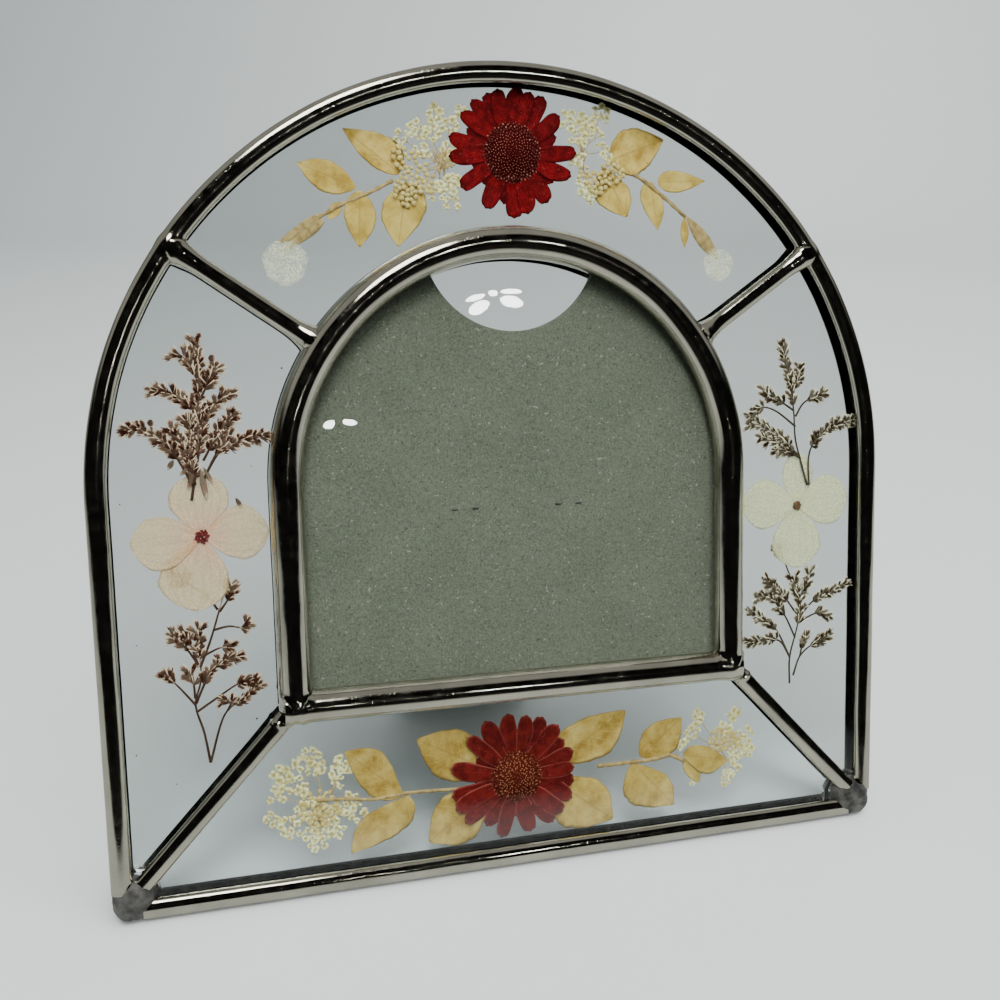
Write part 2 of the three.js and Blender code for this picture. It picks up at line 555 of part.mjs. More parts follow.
const flowers = {
  daisy_top: ["crimson", daisy([0.4, 167.3], [15, 14.6], 17)],
  leaf_sprig_top_left: ["golden", joined([
    stem(LAYER.rear, [[-24, 161.2], [-32, 158], [-38.2, 155.3], [-44.2, 152]]),
    leaf(LAYER.rear, [-25.6, 160.7], [-37.4, 171.1], 6.6, 0.45),
    leaf(LAYER.rear, [-35, 156.8], [-47.5, 163.6], 6.6, 0.45),
    leaf(LAYER.rear, [-34.2, 157.1], [-34.9, 146.3], 6.2, 0.45),
    leaf(LAYER.rear, [-24.4, 161], [-26.2, 146.6], 9.6, 0.45),
    leaf(LAYER.rear, [-42.2, 153.1], [-52.4, 145.1], 3.6, 0.5),
  ])],
  leaf_sprig_top_right: ["golden", joined([
    stem(LAYER.rear, [[22.6, 165], [30.8, 163.1], [37.9, 158.3], [43.4, 153.7]]),
    leaf(LAYER.rear, [26.8, 164], [37.2, 171.5], 7.6, 0.45),
    leaf(LAYER.rear, [23, 164.9], [28.2, 153.9], 8.2, 0.55),
    leaf(LAYER.rear, [34.6, 160.6], [48.1, 162.4], 4.8, 0.4),
    leaf(LAYER.rear, [34, 161], [36.1, 151.1], 5.8, 0.45),
    leaf(LAYER.rear, [42.8, 154.2], [43.1, 147.2], 1.8, 0.5),
    leaf(LAYER.rear, [43, 154], [51.5, 144.4], 4.2, 0.55),
  ])],
  lace_top_left: ["cream", disc(LAYER.middle, [-20, 165.8], [8.2, 10.6])],
  lace_top_right: ["cream", disc(LAYER.middle, [17.8, 167.6], [7, 10.6])],
  pale_petal_left: ["cream", disc(LAYER.middle, [-51.2, 142.6], [4.8, 4.8], 12, 0)],
  pale_petal_right: ["cream", disc(LAYER.middle, [51.8, 142.8], [3.8, 3.8], 12, 0)],
  statice_left_upper: ["brown", statice(LAYER.front, [[-73.6, 94.6], [-72.8, 99], [-70.9, 110], [-71, 118]], [
    [[-71.4, 112], [-70.7, 128], 8],
    [[-71.6, 104], [-81.3, 115], 5.4],
    [[-72.4, 100], [-87.3, 107.3], 5.6],
    [[-71.6, 101], [-62.6, 116], 6.6],
    [[-72.4, 98.4], [-56.1, 107.2], 5.2],
    [[-72.8, 96.4], [-72, 112.6], 9.4],
  ])],
  hydrangea_left: ["cream", hydrangea([-71.7, 84], [
    [-72, 92.1, 6.3, 5.6],
    [-79.6, 84.2, 6.9, 5.7],
    [-63.4, 84.6, 6.9, 5.7],
    [-73.5, 74.4, 7.9, 6.4],
  ])],
  statice_left_lower: ["brown", statice(LAYER.rear, [
    [-72.3, 32.6], [-73.7, 46], [-73.7, 58], [-69.2, 64], [-66.8, 71.3],
  ], [
    [[-73.6, 44.6], [-82.4, 55.6], 4.4],
    [[-74, 55], [-80.2, 61.9], 3.4],
    [[-72.4, 34.6], [-60.5, 50.6], 3.4],
    [[-73.4, 43.6], [-61.6, 51.7], 3.2],
    [[-73.6, 45.4], [-65.5, 57.4], 3.4],
    [[-73.4, 56], [-65.6, 59.2], 2],
    [[-70, 62.6], [-61.8, 64.8], 2],
  ])],
  statice_right_upper: ["brown", statice(LAYER.front, [[76.5, 92], [73.9, 96.4], [73.2, 103], [71.4, 109]], [
    [[71.8, 107], [68.8, 124.8], 5.6],
    [[73.2, 101.4], [59.2, 106.3], 2.6],
    [[72.8, 104], [63.8, 112.9], 4],
    [[72.2, 106], [81.8, 112.6], 2.8],
    [[74.8, 95], [90.2, 104.5], 3.6],
    [[74.6, 95], [58.8, 104.4], 5.2],
  ])],
  hydrangea_right: ["cream", hydrangea([73.6, 82.9], [
    [74.2, 90.4, 4.6, 6],
    [82, 84.6, 6.5, 6.4],
    [65.2, 84, 6.6, 6.4],
    [73.8, 73.7, 7.2, 6.8],
  ])],
  statice_right_lower: ["brown", statice(LAYER.rear, [[72.2, 36.6], [72.6, 46], [73.4, 56]], [
    [[73, 50], [72.8, 67.6], 7.6],
    [[73, 44], [58.6, 60], 8],
    [[72.6, 41], [58.2, 48.6], 4.2],
    [[72.4, 46], [89.7, 63], 7],
    [[72.4, 43], [85.4, 55], 4.4],
    [[72.2, 37.6], [84.6, 48.8], 2.8],
    [[72.8, 46], [66.8, 66], 5],
  ])],
  daisy_bottom: ["crimson", daisy([-2, 21.1], [15.7, 15.3], 19)],
  leaf_pair_bottom_left: ["golden", joined([
    leaf(LAYER.rear, [-9, 22], [-25.3, 32.5], 8, 0.55),
    leaf(LAYER.rear, [-9, 20], [-23.2, 7.7], 9.4, 0.55),
    stem(LAYER.rear, [[-12, 21], [-6, 21]], 3),
  ])],
  leaf_pair_bottom_right: ["golden", joined([
    leaf(LAYER.rear, [5, 21.6], [26.3, 33.9], 8.6, 0.6),
    leaf(LAYER.rear, [6, 19.8], [22.8, 7.2], 9.4, 0.6),
    stem(LAYER.rear, [[4, 21], [10, 21]], 3),
  ])],
  leaf_sprig_bottom_left: ["golden", joined([
    stem(LAYER.middle, [[-36, 19.9], [-28.4, 20.2], [-18.3, 19.8]], 1.4),
    leaf(LAYER.middle, [-29, 20.2], [-42.7, 31.9], 10, 0.5),
    leaf(LAYER.middle, [-28.4, 20.2], [-42, 7.5], 10.4, 0.5),
  ])],
  leaf_sprig_bottom_right: ["golden", joined([
    stem(LAYER.middle, [[18.8, 21], [34.3, 20.7], [38.7, 21.2], [42.5, 20.2]], 1.2),
    leaf(LAYER.middle, [28.4, 20.8], [41.7, 30.4], 8.6, 0.55),
    leaf(LAYER.middle, [26, 20.6], [39.4, 8.8], 10, 0.55),
    leaf(LAYER.middle, [41.6, 20.8], [54.2, 18.6], 7, 0.5),
    leaf(LAYER.middle, [42.2, 20], [46.6, 13.7], 2.6, 0.5),
  ])],
  lace_bottom_left: ["cream", disc(LAYER.rear, [-51.2, 21.2], [11.4, 13.4])],
  lace_bottom_right: ["cream", disc(LAYER.rear, [53.4, 21.8], [9, 9.2])],
};

// ---------------------------------------------------------------- assembly

const frame = new THREE.Group();
const strut = new THREE.Group();

function addTo(group, name, material, solid) {
  const mesh = new THREE.Mesh(toGeometry(solid), materials[material]());
  mesh.name = name;
  group.add(mesh);
}

addTo(frame, "outer_came_arch", "polished", outerArch());
addTo(frame, "outer_came_base", "polished", outerBase());
addTo(frame, "inner_came_arch", "polished", innerArch());
addTo(frame, "inner_came_sill", "polished", innerSill());

for (const [side, word] of [[-1, "left"], [1, "right"]]) {
  addTo(frame, `seam_upper_${word}`, "polished", upperSeam(side));
  addTo(frame, `seam_lower_${word}`, "polished", lowerSeam(side));
  addTo(frame, `corner_solder_${word}`, "dull", cornerLump(CORNERS[word]));
  addTo(frame, `staple_${word}`, "steel", staple(side * STAPLE_X));
}

for (const panel of ["top", "left", "right", "bottom"]) {
  addTo(frame, `pane_${panel}_front`, "glass", frontPanes[panel]);
  addTo(frame, `pane_${panel}_rear`, "glass", rearPanes[panel]);
}

addTo(frame, "photo_glass", "glass", photoGlass());
addTo(frame, "backing_board", "chipboard", backingBoard());

for (const [name, [material, solid]] of Object.entries(flowers)) {
  addTo(frame, name, material, solid);
}

const hinge = new THREE.Group();
hinge.position.set(0, HINGE_HEIGHT, HINGE_DEPTH);
addTo(hinge, "hinge_leaf_board", "steel", boardLeaf());
addTo(hinge, "hinge_pin", "steel", rod(PIN_RADIUS, -LEAF_WIDTH / 2 - 0.6, LEAF_WIDTH / 2 + 0.6));
frame.add(hinge);

strut.position.copy(hinge.position);
strut.rotation.x = STRUT_OPENING;
addTo(strut, "hinge_leaf_strut", "steel", strutLeaf());
addTo(strut, "easel_strut", "chipboard", strutPlate(strutLength()));
frame.add(strut);

// Stand the frame up, lean it back and move the origin under the middle of the whole.
frame.rotation.x = Math.PI / 2 - LEAN;
const part = new THREE.Group();
part.add(frame);
part.updateMatrixWorld(true);
const bounds = new THREE.Box3().setFromObject(part, true);
frame.position.set(
  -(bounds.min.x + bounds.max.x) / 2,
  -(bounds.min.y + bounds.max.y) / 2,
  -bounds.min.z,
);

export default part;
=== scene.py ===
"""Looks of the pressed flower frame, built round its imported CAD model.

Every piece is drawn flat, in millimetres, in the frame's own plane: u to the right, v up the
frame, w towards the viewer.  to_world() leans the plane back and puts it where the CAD has it.
"""

import json
import math
import random

import bmesh
import bpy
import numpy as np
from mathutils import Matrix, Vector, noise


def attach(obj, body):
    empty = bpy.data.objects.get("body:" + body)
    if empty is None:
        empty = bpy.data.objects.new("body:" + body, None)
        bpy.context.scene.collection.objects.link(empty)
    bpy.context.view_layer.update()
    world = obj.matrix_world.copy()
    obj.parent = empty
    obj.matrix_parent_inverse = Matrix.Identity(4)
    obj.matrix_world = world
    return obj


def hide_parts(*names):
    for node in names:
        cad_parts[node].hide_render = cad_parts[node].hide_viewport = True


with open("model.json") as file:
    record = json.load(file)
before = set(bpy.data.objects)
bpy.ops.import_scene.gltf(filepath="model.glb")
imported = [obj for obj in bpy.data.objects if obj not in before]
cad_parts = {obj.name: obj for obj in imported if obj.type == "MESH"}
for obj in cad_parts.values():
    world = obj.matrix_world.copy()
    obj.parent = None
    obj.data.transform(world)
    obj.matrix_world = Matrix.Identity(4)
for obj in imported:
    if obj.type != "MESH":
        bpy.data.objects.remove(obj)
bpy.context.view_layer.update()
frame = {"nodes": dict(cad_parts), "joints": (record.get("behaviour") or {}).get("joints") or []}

# ---------------------------------------------------------------- the frame's plane

MM = 0.001
LEAN = math.radians(18)
HINGE = np.array([0.0, 90.0, -3.9])  # a point of the hinge axis in the frame's plane

RIGHT = np.array([1.0, 0.0, 0.0])
UP = np.array([0.0, math.sin(LEAN), math.cos(LEAN)])
OUT = np.array([0.0, -math.cos(LEAN), math.sin(LEAN)])
AXES = np.stack([RIGHT, UP, OUT])
ORIGIN = np.array(frame["joints"][0]["pos_m"]) - HINGE * MM @ AXES


def to_world(points):
    return np.asarray(points, float) * MM @ AXES + ORIGIN


# ---------------------------------------------------------------- mesh drafts


class Draft:
    """Points and faces of one piece, with three painted values at each point."""

    def __init__(self):
        self.points = []
        self.faces = []
        self.paint = []

    def add(self, points, faces, paint):
        start = len(self.points)
        points = np.asarray(points, float).reshape(-1, 3)
        self.points.extend(points.tolist())
        self.faces.extend([start + i for i in face] for face in faces)
        self.paint.extend(np.broadcast_to(np.asarray(paint, float), points.shape).tolist())


def add_object(name, data):
    thing = bpy.data.objects.new(name, data)
    bpy.context.scene.collection.objects.link(thing)
    return thing


def make(name, parts, nodes=(), crease=None, body="frame"):
    """A piece from pairs of draft and material.  It stands for the CAD nodes it is given."""
    points, faces, paint, shades = [], [], [], []
    for shade, (draft, _) in enumerate(parts):
        start = len(points)
        points += draft.points
        paint += draft.paint
        faces += [[start + i for i in face] for face in draft.faces]
        shades += [shade] * len(draft.faces)
    mesh = bpy.data.meshes.new(name)
    mesh.from_pydata(to_world(points).tolist(), [], faces)
    mesh.polygons.foreach_set("material_index", shades)
    shape = bmesh.new()
    shape.from_mesh(mesh)
    bmesh.ops.recalc_face_normals(shape, faces=shape.faces)
    shape.to_mesh(mesh)
    shape.free()
    attribute = mesh.attributes.new("paint", "FLOAT_VECTOR", "POINT")
    attribute.data.foreach_set("vector", np.ravel(paint))
    for _, material in parts:
        mesh.materials.append(material)
    mesh.shade_smooth()
    if crease is not None:
        mesh.set_sharp_from_angle(angle=math.radians(crease))
    piece = add_object(name, mesh)
    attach(piece, body)
    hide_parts(*nodes)
    return piece


def grid_faces(rows, columns, wrap=False):
    """Quads between the points of a grid; wrap joins the ends of each row."""
    faces = []
    for low in range(0, (rows - 1) * columns, columns):
        high = low + columns
        for c in range(columns if wrap else columns - 1):
            after = (c + 1) % columns
            faces.append((low + c, low + after, high + after, high + c))
    return faces


def tube_faces(rings, sides):
    """Walls and both ends of a closed tube."""
    last = (rings - 1) * sides
    return grid_faces(rings, sides, wrap=True) + [tuple(range(sides)), tuple(range(last, last + sides))]


def add_blade(draft, grid, thickness, paint):
    """A thin closed sheet whose front face is a grid of points."""
    rows, columns = grid.shape[:2]
    count = rows * columns
    back = grid - np.array([0, 0, thickness])
    front_faces = grid_faces(rows, columns)
    rim = [
        *range(columns - 1),
        *range(columns - 1, count - 1, columns),
        *range(count - 1, count - columns, -1),
        *range(count - columns, 0, -columns),
    ]
    sides = [(a, b, b + count, a + count) for a, b in zip(rim, rim[1:] + rim[:1])]
    faces = front_faces + [tuple(i + count for i in reversed(face)) for face in front_faces] + sides
    points = np.concatenate([grid.reshape(-1, 3), back.reshape(-1, 3)])
    draft.add(points, faces, np.tile(np.asarray(paint).reshape(-1, 3), (2, 1)))


def grid_paint(t, s, tone):
    """Painted values over a grid: t along it, s across it and a tone."""
    shape = np.ones(np.broadcast(t, s).shape)
    return np.dstack([t * shape, s * shape, tone * shape])


def smooth_line(points, step):
    """Catmull-Rom curve through the points, with a point about every step."""
    points = [np.array(p, float) for p in points]
    ends = [2 * points[0] - points[1], *points, 2 * points[-1] - points[-2]]
    line = []
    for a, b, c, d in zip(ends, ends[1:], ends[2:], ends[3:]):
        count = max(1, round(float(np.linalg.norm(c - b)) / step))
        for t in np.arange(count) / count:
            bend, twist = 2 * a - 5 * b + 4 * c - d, 3 * b - a - 3 * c + d
            line.append(0.5 * (2 * b + (c - a) * t + bend * t**2 + twist * t**3))
    line.append(points[-1])
    return np.array(line)


def add_tube(draft, line, radii, tone=0.5, sides=6, squash=1.0):
    """A closed tube along a line of points; squash flattens it in depth."""
    line = np.asarray(line, float)
    along = np.gradient(line, axis=0)
    along /= np.linalg.norm(along, axis=1)[:, None] + 1e-9
    across = np.cross(along, (0.0, 0.0, 1.0))
    across /= np.linalg.norm(across, axis=1)[:, None] + 1e-9
    third = np.cross(across, along)
    radii = np.broadcast_to(radii, len(line))
    angles = 2 * math.pi * np.arange(sides) / sides
    ring = (
        across[:, None] * np.cos(angles)[None, :, None]
        + third[:, None] * np.sin(angles)[None, :, None] * squash
    )
    points = line[:, None] + ring * np.asarray(radii)[:, None, None]
    share = np.repeat(np.linspace(0, 1, len(line)), sides)
    round_it = np.tile(angles / (2 * math.pi), len(line))
    paint = np.stack([share, round_it, np.full(len(share), tone)], axis=1)
    draft.add(points, tube_faces(len(line), sides), paint)


def add_spindle(draft, base, tip, radius, tone, power=0.7, sides=6, rings=5, squash=0.6, widest=0.5):
    """A closed seed shape from base to tip."""
    t = np.linspace(0.02, 0.98, rings)
    line = np.array(base, float) + (np.array(tip, float) - np.array(base, float)) * t[:, None]
    skew = math.log(0.5) / math.log(widest)
    add_tube(draft, line, radius * np.sin(math.pi * t**skew) ** power, tone, sides, squash)


# ---------------------------------------------------------------- shader nodes


def new_material(name):
    material = bpy.data.materials.new(name)
    material.use_nodes = True
    return material, material.node_tree


def add_node(tree, kind, inputs=(), **settings):
    """A shader node; an input's value is a number, a colour or another node's output."""
    node = tree.nodes.new("ShaderNode" + kind)
    for key, value in settings.items():
        setattr(node, key, value)
    for key, value in dict(inputs).items():
        if isinstance(value, bpy.types.NodeSocket):
            tree.links.new(value, node.inputs[key])
        else:
            node.inputs[key].default_value = value
    return node


def place(tree, stretch=(1, 1, 1)):
    """Object coordinates, in metres, scaled along each axis."""
    coordinates = add_node(tree, "TexCoord").outputs["Object"]
    return add_node(tree, "Mapping", {"Vector": coordinates, "Scale": stretch}).outputs["Vector"]


def grain(tree, scale, detail, roughness=0.5, where=None):
    inputs = {"Scale": scale, "Detail": detail, "Roughness": roughness, "Vector": where or place(tree)}
    return add_node(tree, "TexNoise", inputs).outputs["Fac"]


def ramp(tree, value, stops):
    """Colour ramp; each stop is a place from 0 to 1 and a colour or a grey."""
    node = add_node(tree, "ValToRGB", {"Fac": value})
    band = node.color_ramp
    while len(band.elements) < len(stops):
        band.elements.new(1.0)
    for element, (position, colour) in zip(band.elements, stops):
        element.position = position
        element.color = (*((colour,) * 3 if isinstance(colour, (int, float)) else colour), 1)
    return node.outputs["Color"]


def sums(tree, operation, a, b=0.0):
    return add_node(tree, "Math", {0: a, 1: b}, operation=operation).outputs[0]


def times(tree, a, b):
    return sums(tree, "MULTIPLY", a, b)


def scaled(colour, share):
    return tuple(c * share for c in colour)


def mix(tree, share, a, b, blend="MIX"):
    node = add_node(tree, "Mix", data_type="RGBA", blend_type=blend)
    for socket, value in ((node.inputs[0], share), (node.inputs[6], a), (node.inputs[7], b)):
        if isinstance(value, bpy.types.NodeSocket):
            tree.links.new(value, socket)
        elif isinstance(value, tuple):
            socket.default_value = (*value, 1)
        else:
            socket.default_value = value
    return node.outputs[2]


def show_mixed(tree, share, first, second):
    """Mixes two shaders and gives the result to the surface."""
    both = add_node(tree, "MixShader", {0: share, 1: first.outputs[0], 2: second.outputs[0]})
    tree.links.new(both.outputs[0], tree.nodes["Material Output"].inputs["Surface"])
    return both


def painted(tree):
    """The three painted values: along, across or round, and tone."""
    attribute = add_node(tree, "Attribute", attribute_name="paint", attribute_type="GEOMETRY")
    return add_node(tree, "SeparateXYZ", {0: attribute.outputs["Vector"]}).outputs


def stretched(tree, values, scales):
    """The painted values as a place, each scaled by its own amount."""
    inputs = {i: times(tree, value, scale) for i, (value, scale) in enumerate(zip(values, scales))}
    return add_node(tree, "CombineXYZ", inputs).outputs[0]


def bump(tree, height, distance, strength):
    inputs = {"Height": height, "Distance": distance, "Strength": strength}
    return add_node(tree, "Bump", inputs).outputs["Normal"]


def finish_surface(tree, **inputs):
    """Feeds the Principled shader that every new material starts with."""
    shader = tree.nodes["Principled BSDF"]
    for key, value in inputs.items():
        socket = shader.inputs[key.replace("_", " ")]
        if isinstance(value, bpy.types.NodeSocket):
            tree.links.new(value, socket)
        elif isinstance(value, tuple):
            socket.default_value = (*value, 1) if len(socket.default_value) == 4 else value
        else:
            socket.default_value = value
    return shader


# ---------------------------------------------------------------- materials


def polished_solder():
    """Bright solder: mirror-like, warm grey, with fine pits and slow ripples."""
    material, tree = new_material("polished_solder")
    pits = ramp(tree, grain(tree, 2600, 2.0), [(0.30, 0.0), (0.40, 1.0)])
    ripples = grain(tree, 160, 2.0)
    height = sums(tree, "ADD", times(tree, pits, 0.10), times(tree, ripples, 0.6))
    stain = grain(tree, 90, 4.0)
    finish_surface(
        tree,
        Base_Color=ramp(tree, stain, [(0.3, (0.37, 0.355, 0.285)), (0.7, (0.51, 0.49, 0.395))]),
        Metallic=1.0,
        Roughness=ramp(tree, grain(tree, 420, 4.0), [(0.35, 0.05), (0.75, 0.16)]),
        Normal=bump(tree, height, 0.00005, 0.7),
    )
    return material


def dull_solder():
    material, tree = new_material("dull_solder")
    lumps = grain(tree, 700, 6.0, 0.65)
    stain = grain(tree, 380, 5.0)
    finish_surface(
        tree,
        Base_Color=ramp(tree, stain, [(0.3, (0.035, 0.036, 0.034)), (0.7, (0.21, 0.205, 0.19))]),
        Metallic=0.85,
        Roughness=ramp(tree, lumps, [(0.3, 0.38), (0.7, 0.62)]),
        Normal=bump(tree, lumps, 0.0006, 0.9),
    )
    return material


def clear_glass(tint, name):
    """Clear glass that lets the lamps' light through to what lies behind it."""
    material, tree = new_material(name)
    shader = finish_surface(tree, Base_Color=tint, Roughness=0.0, IOR=1.45, Transmission_Weight=1.0)
    clear = add_node(tree, "BsdfTransparent", {"Color": (*tint, 1)})
    path = add_node(tree, "LightPath")
    show_mixed(tree, path.outputs["Is Shadow Ray"], shader, clear)
    return material


def chipboard():
    """Grey recycled board, speckled with dark and light fibres."""
    material, tree = new_material("chipboard")
    cloud = grain(tree, 70, 3.0)
    fibres = grain(tree, 2200, 3.0, 0.7)
    dark = ramp(tree, grain(tree, 1500, 1.0), [(0.27, 1.0), (0.33, 0.0)])
    long = place(tree, (1, 1.6, 1))
    light = ramp(tree, grain(tree, 1250, 1.0, where=long), [(0.69, 0.0), (0.75, 1.0)])
    board = ramp(tree, cloud, [(0.3, (0.114, 0.124, 0.090)), (0.7, (0.130, 0.140, 0.103))])
    flecked = mix(tree, 0.8, board, ramp(tree, fibres, [(0.3, 0.26), (0.7, 0.74)]), "OVERLAY")
    with_dark = mix(tree, times(tree, dark, 0.8), flecked, (0.055, 0.052, 0.042))
    with_light = mix(tree, times(tree, light, 0.5), with_dark, (0.40, 0.39, 0.33))
    finish_surface(
        tree,
        Base_Color=with_light,
        Roughness=0.9,
        Specular_IOR_Level=0.2,
        Normal=bump(tree, fibres, 0.0001, 0.5),
    )
    return material


def hinge_steel(name, shade):
    """Brushed steel; shade darkens it."""
    material, tree = new_material(name)
    brush = grain(tree, 300, 4.0, where=place(tree, (1, 14, 14)))
    dull, bright = scaled((0.46, 0.45, 0.42), shade), scaled((0.66, 0.65, 0.62), shade)
    finish_surface(
        tree,
        Base_Color=ramp(tree, grain(tree, 200, 4.0), [(0.3, dull), (0.7, bright)]),
        Metallic=1.0,
        Roughness=ramp(tree, brush, [(0.3, 0.28), (0.7, 0.42)]),
        Normal=bump(tree, brush, 0.00003, 0.5),
    )
    return material


def petal_red(name, deep, bright, rim):
    """Dried red petal: mottled along its length, bruised and flecked, with a rim of its own."""
    material, tree = new_material(name)
    along, across, tone = painted(tree)
    streaks = stretched(tree, (along, across, tone), (5.0, 9.0, 60.0))
    mottle = grain(tree, 1.6, 5.0, 0.65, streaks)
    body = ramp(tree, mottle, [(0.36, deep), (0.70, bright)])
    patches = ramp(tree, grain(tree, 480, 3.0), [(0.38, 0.75), (0.58, 0.0)])
    bruised = mix(tree, patches, body, scaled(deep, 0.7))
    flecks = ramp(tree, grain(tree, 1900, 2.0), [(0.62, 0.0), (0.75, 0.45)])
    flecked = mix(tree, flecks, bruised, (0.36, 0.060, 0.055))
    side = ramp(tree, sums(tree, "ABSOLUTE", across), [(0.80, 0.0), (1.0, 0.85)])
    edge = sums(tree, "MAXIMUM", side, ramp(tree, along, [(0.93, 0.0), (1.0, 0.85)]))
    shaded = mix(tree, edge, flecked, rim)
    toned = mix(tree, times(tree, tone, 0.5), shaded, scaled(deep, 0.45))
    relief = bump(tree, mottle, 0.0002, 0.6)
    finish_surface(tree, Base_Color=toned, Roughness=0.62, Specular_IOR_Level=0.05, Normal=relief)
    return material


def disc_florets(name, dark, tip):
    """Tiny florets of a daisy's disc: dark at the foot and tan at the tip."""
    material, tree = new_material(name)
    along, _, tone = painted(tree)
    lit = ramp(tree, along, [(0.45, dark), (0.75, tip)])
    shaded = mix(tree, times(tree, tone, 0.9), lit, dark)
    finish_surface(tree, Base_Color=shaded, Roughness=0.75, Specular_IOR_Level=0.03)
    return material


def golden_leaf(name, shade):
    """Pressed leaf: straw gold, blotched, with a fine midrib, side veins and a dark rim. A shade below 1
    darkens the whole leaf: painted shade.
    """
    material, tree = new_material(name)
    along, across, tone = painted(tree)
    side = sums(tree, "ABSOLUTE", across)
    blotch = grain(tree, 260, 5.0, 0.6)
    golds = ((0.34, (0.38, 0.235, 0.040)), (0.5, (0.58, 0.40, 0.095)), (0.68, (0.72, 0.54, 0.17)))
    # shade scales the golds down: painted shade, not a browner leaf
    body = ramp(tree, blotch, [(at, scaled(gold, shade)) for at, gold in golds])
    toned = mix(tree, times(tree, tone, 0.30), body, (0.56, 0.45, 0.11))
    slant = sums(tree, "SUBTRACT", times(tree, along, 9.0), times(tree, side, 2.2))
    veins = ramp(tree, sums(tree, "PINGPONG", slant, 0.5), [(0.0, 1.0), (0.09, 0.0)])
    veined = mix(tree, times(tree, veins, 0.15), toned, (0.80, 0.64, 0.28))
    midrib = ramp(tree, side, [(0.0, 1.0), (0.07, 0.0)])
    ribbed = mix(tree, times(tree, midrib, 0.5), veined, (0.26, 0.15, 0.04))
    rim = ramp(tree, side, [(0.90, 0.0), (1.0, 1.0)])
    rimmed = mix(tree, times(tree, rim, 0.6), ribbed, (0.14, 0.09, 0.03))
    specks = ramp(tree, grain(tree, 1700, 1.0), [(0.25, 1.0), (0.31, 0.0)])
    specked = mix(tree, times(tree, specks, 0.5), rimmed, (0.22, 0.14, 0.05))
    height = sums(tree, "ADD", blotch, times(tree, veins, 0.4))
    relief = bump(tree, height, 0.00025, 0.7)
    finish_surface(tree, Base_Color=specked, Roughness=0.7, Specular_IOR_Level=0.1, Normal=relief)
    return material


def cream_lace():
    """Lace florets: cream petals, darker at the foot."""
    material, tree = new_material("cream_lace")
    along, _, tone = painted(tree)
    creams = [(0.0, (0.33, 0.29, 0.09)), (0.24, (0.53, 0.49, 0.19)), (0.6, (0.82, 0.81, 0.45))]
    body = ramp(tree, along, creams)
    toned = mix(tree, tone, body, (0.52, 0.40, 0.14))
    finish_surface(tree, Base_Color=toned, Roughness=0.8, Specular_IOR_Level=0.08)
    return material


def papery_statice(name, shade, tip):
    """Dried statice: dark buds with pale papery tips."""
    material, tree = new_material(name)
    along, _, tone = painted(tree)
    rough = grain(tree, 1500, 3.0)
    ragged = sums(tree, "ADD", along, times(tree, sums(tree, "SUBTRACT", rough, 0.5), 0.7))
    darker, lighter = scaled(shade, 0.45), scaled(shade, 2.2)
    body = ramp(tree, ragged, [(0.0, shade), (0.5, darker), (0.72, lighter), (0.95, tip)])
    toned = mix(tree, tone, body, scaled(tip, 1.25))
    finish_surface(tree, Base_Color=toned, Roughness=0.8, Specular_IOR_Level=0.02)
    return material


def thin_petal(name, body, centre, reach, gaps, cells, fade=0.98, sides=1):
    """Papery see-through petal with fine veins that run out from the flower's centre.

    gaps and cells are how much the petal covers between its cells and at them; past the share
    of its length given as fade it thins out.  sides is 1 for a petal with dark side edges.
    """
    material, tree = new_material(name)
    along, across, tone = painted(tree)
    fan = stretched(tree, (along, across, tone), (1.6, 1.4, 20.0))
    wander = times(tree, grain(tree, 1.6, 3.0, 0.5, fan), 0.9)
    lines = sums(tree, "PINGPONG", sums(tree, "ADD", times(tree, across, 3.6), wander), 0.5)
    veins = ramp(tree, lines, [(0.0, 1.0), (0.11, 0.0)])
    tissue = grain(tree, 2300, 3.0, 0.6)
    clouded = mix(tree, ramp(tree, tissue, [(0.32, 0.4), (0.52, 0.0)]), body, scaled(body, 0.6))
    veined = mix(tree, times(tree, veins, 0.55), clouded, scaled(body, 0.38))
    blush = ramp(tree, along, [(0.0, 1.0), (reach * 0.45, 0.35), (reach, 0.0)])
    fed = times(tree, blush, sums(tree, "ADD", times(tree, veins, 0.7), 0.3))
    colour = mix(tree, fed, veined, centre)
    tip = ramp(tree, along, [(0.96, 0.0), (1.0, 0.7)])
    side = ramp(tree, sums(tree, "ABSOLUTE", across), [(0.93, 0.0), (1.0, 0.7 * sides)])
    rim = sums(tree, "MAXIMUM", tip, side)
    edged = mix(tree, rim, colour, scaled(body, 0.5))
    relief = bump(tree, tissue, 0.0001, 0.7)
    shader = finish_surface(tree, Base_Color=edged, Roughness=0.75, Specular_IOR_Level=0.2, Normal=relief)
    through = add_node(tree, "BsdfTranslucent", {"Color": (*body, 1)})
    paper = show_mixed(tree, 0.3, shader, through)
    clear = add_node(tree, "BsdfTransparent")
    spots = ramp(tree, tissue, [(0.44, gaps), (0.58, cells)])
    cover = times(tree, spots, ramp(tree, along, [(fade, 1.0), (1.0, 0.35)]))
    show_mixed(tree, cover, clear, paper)
    return material


def plain_stalk(name, colour, dark):
    material, tree = new_material(name)
    tinted = ramp(tree, grain(tree, 900, 4.0), [(0.3, dark), (0.7, colour)])
    finish_surface(tree, Base_Color=tinted, Roughness=0.8, Specular_IOR_Level=0.08)
    return material


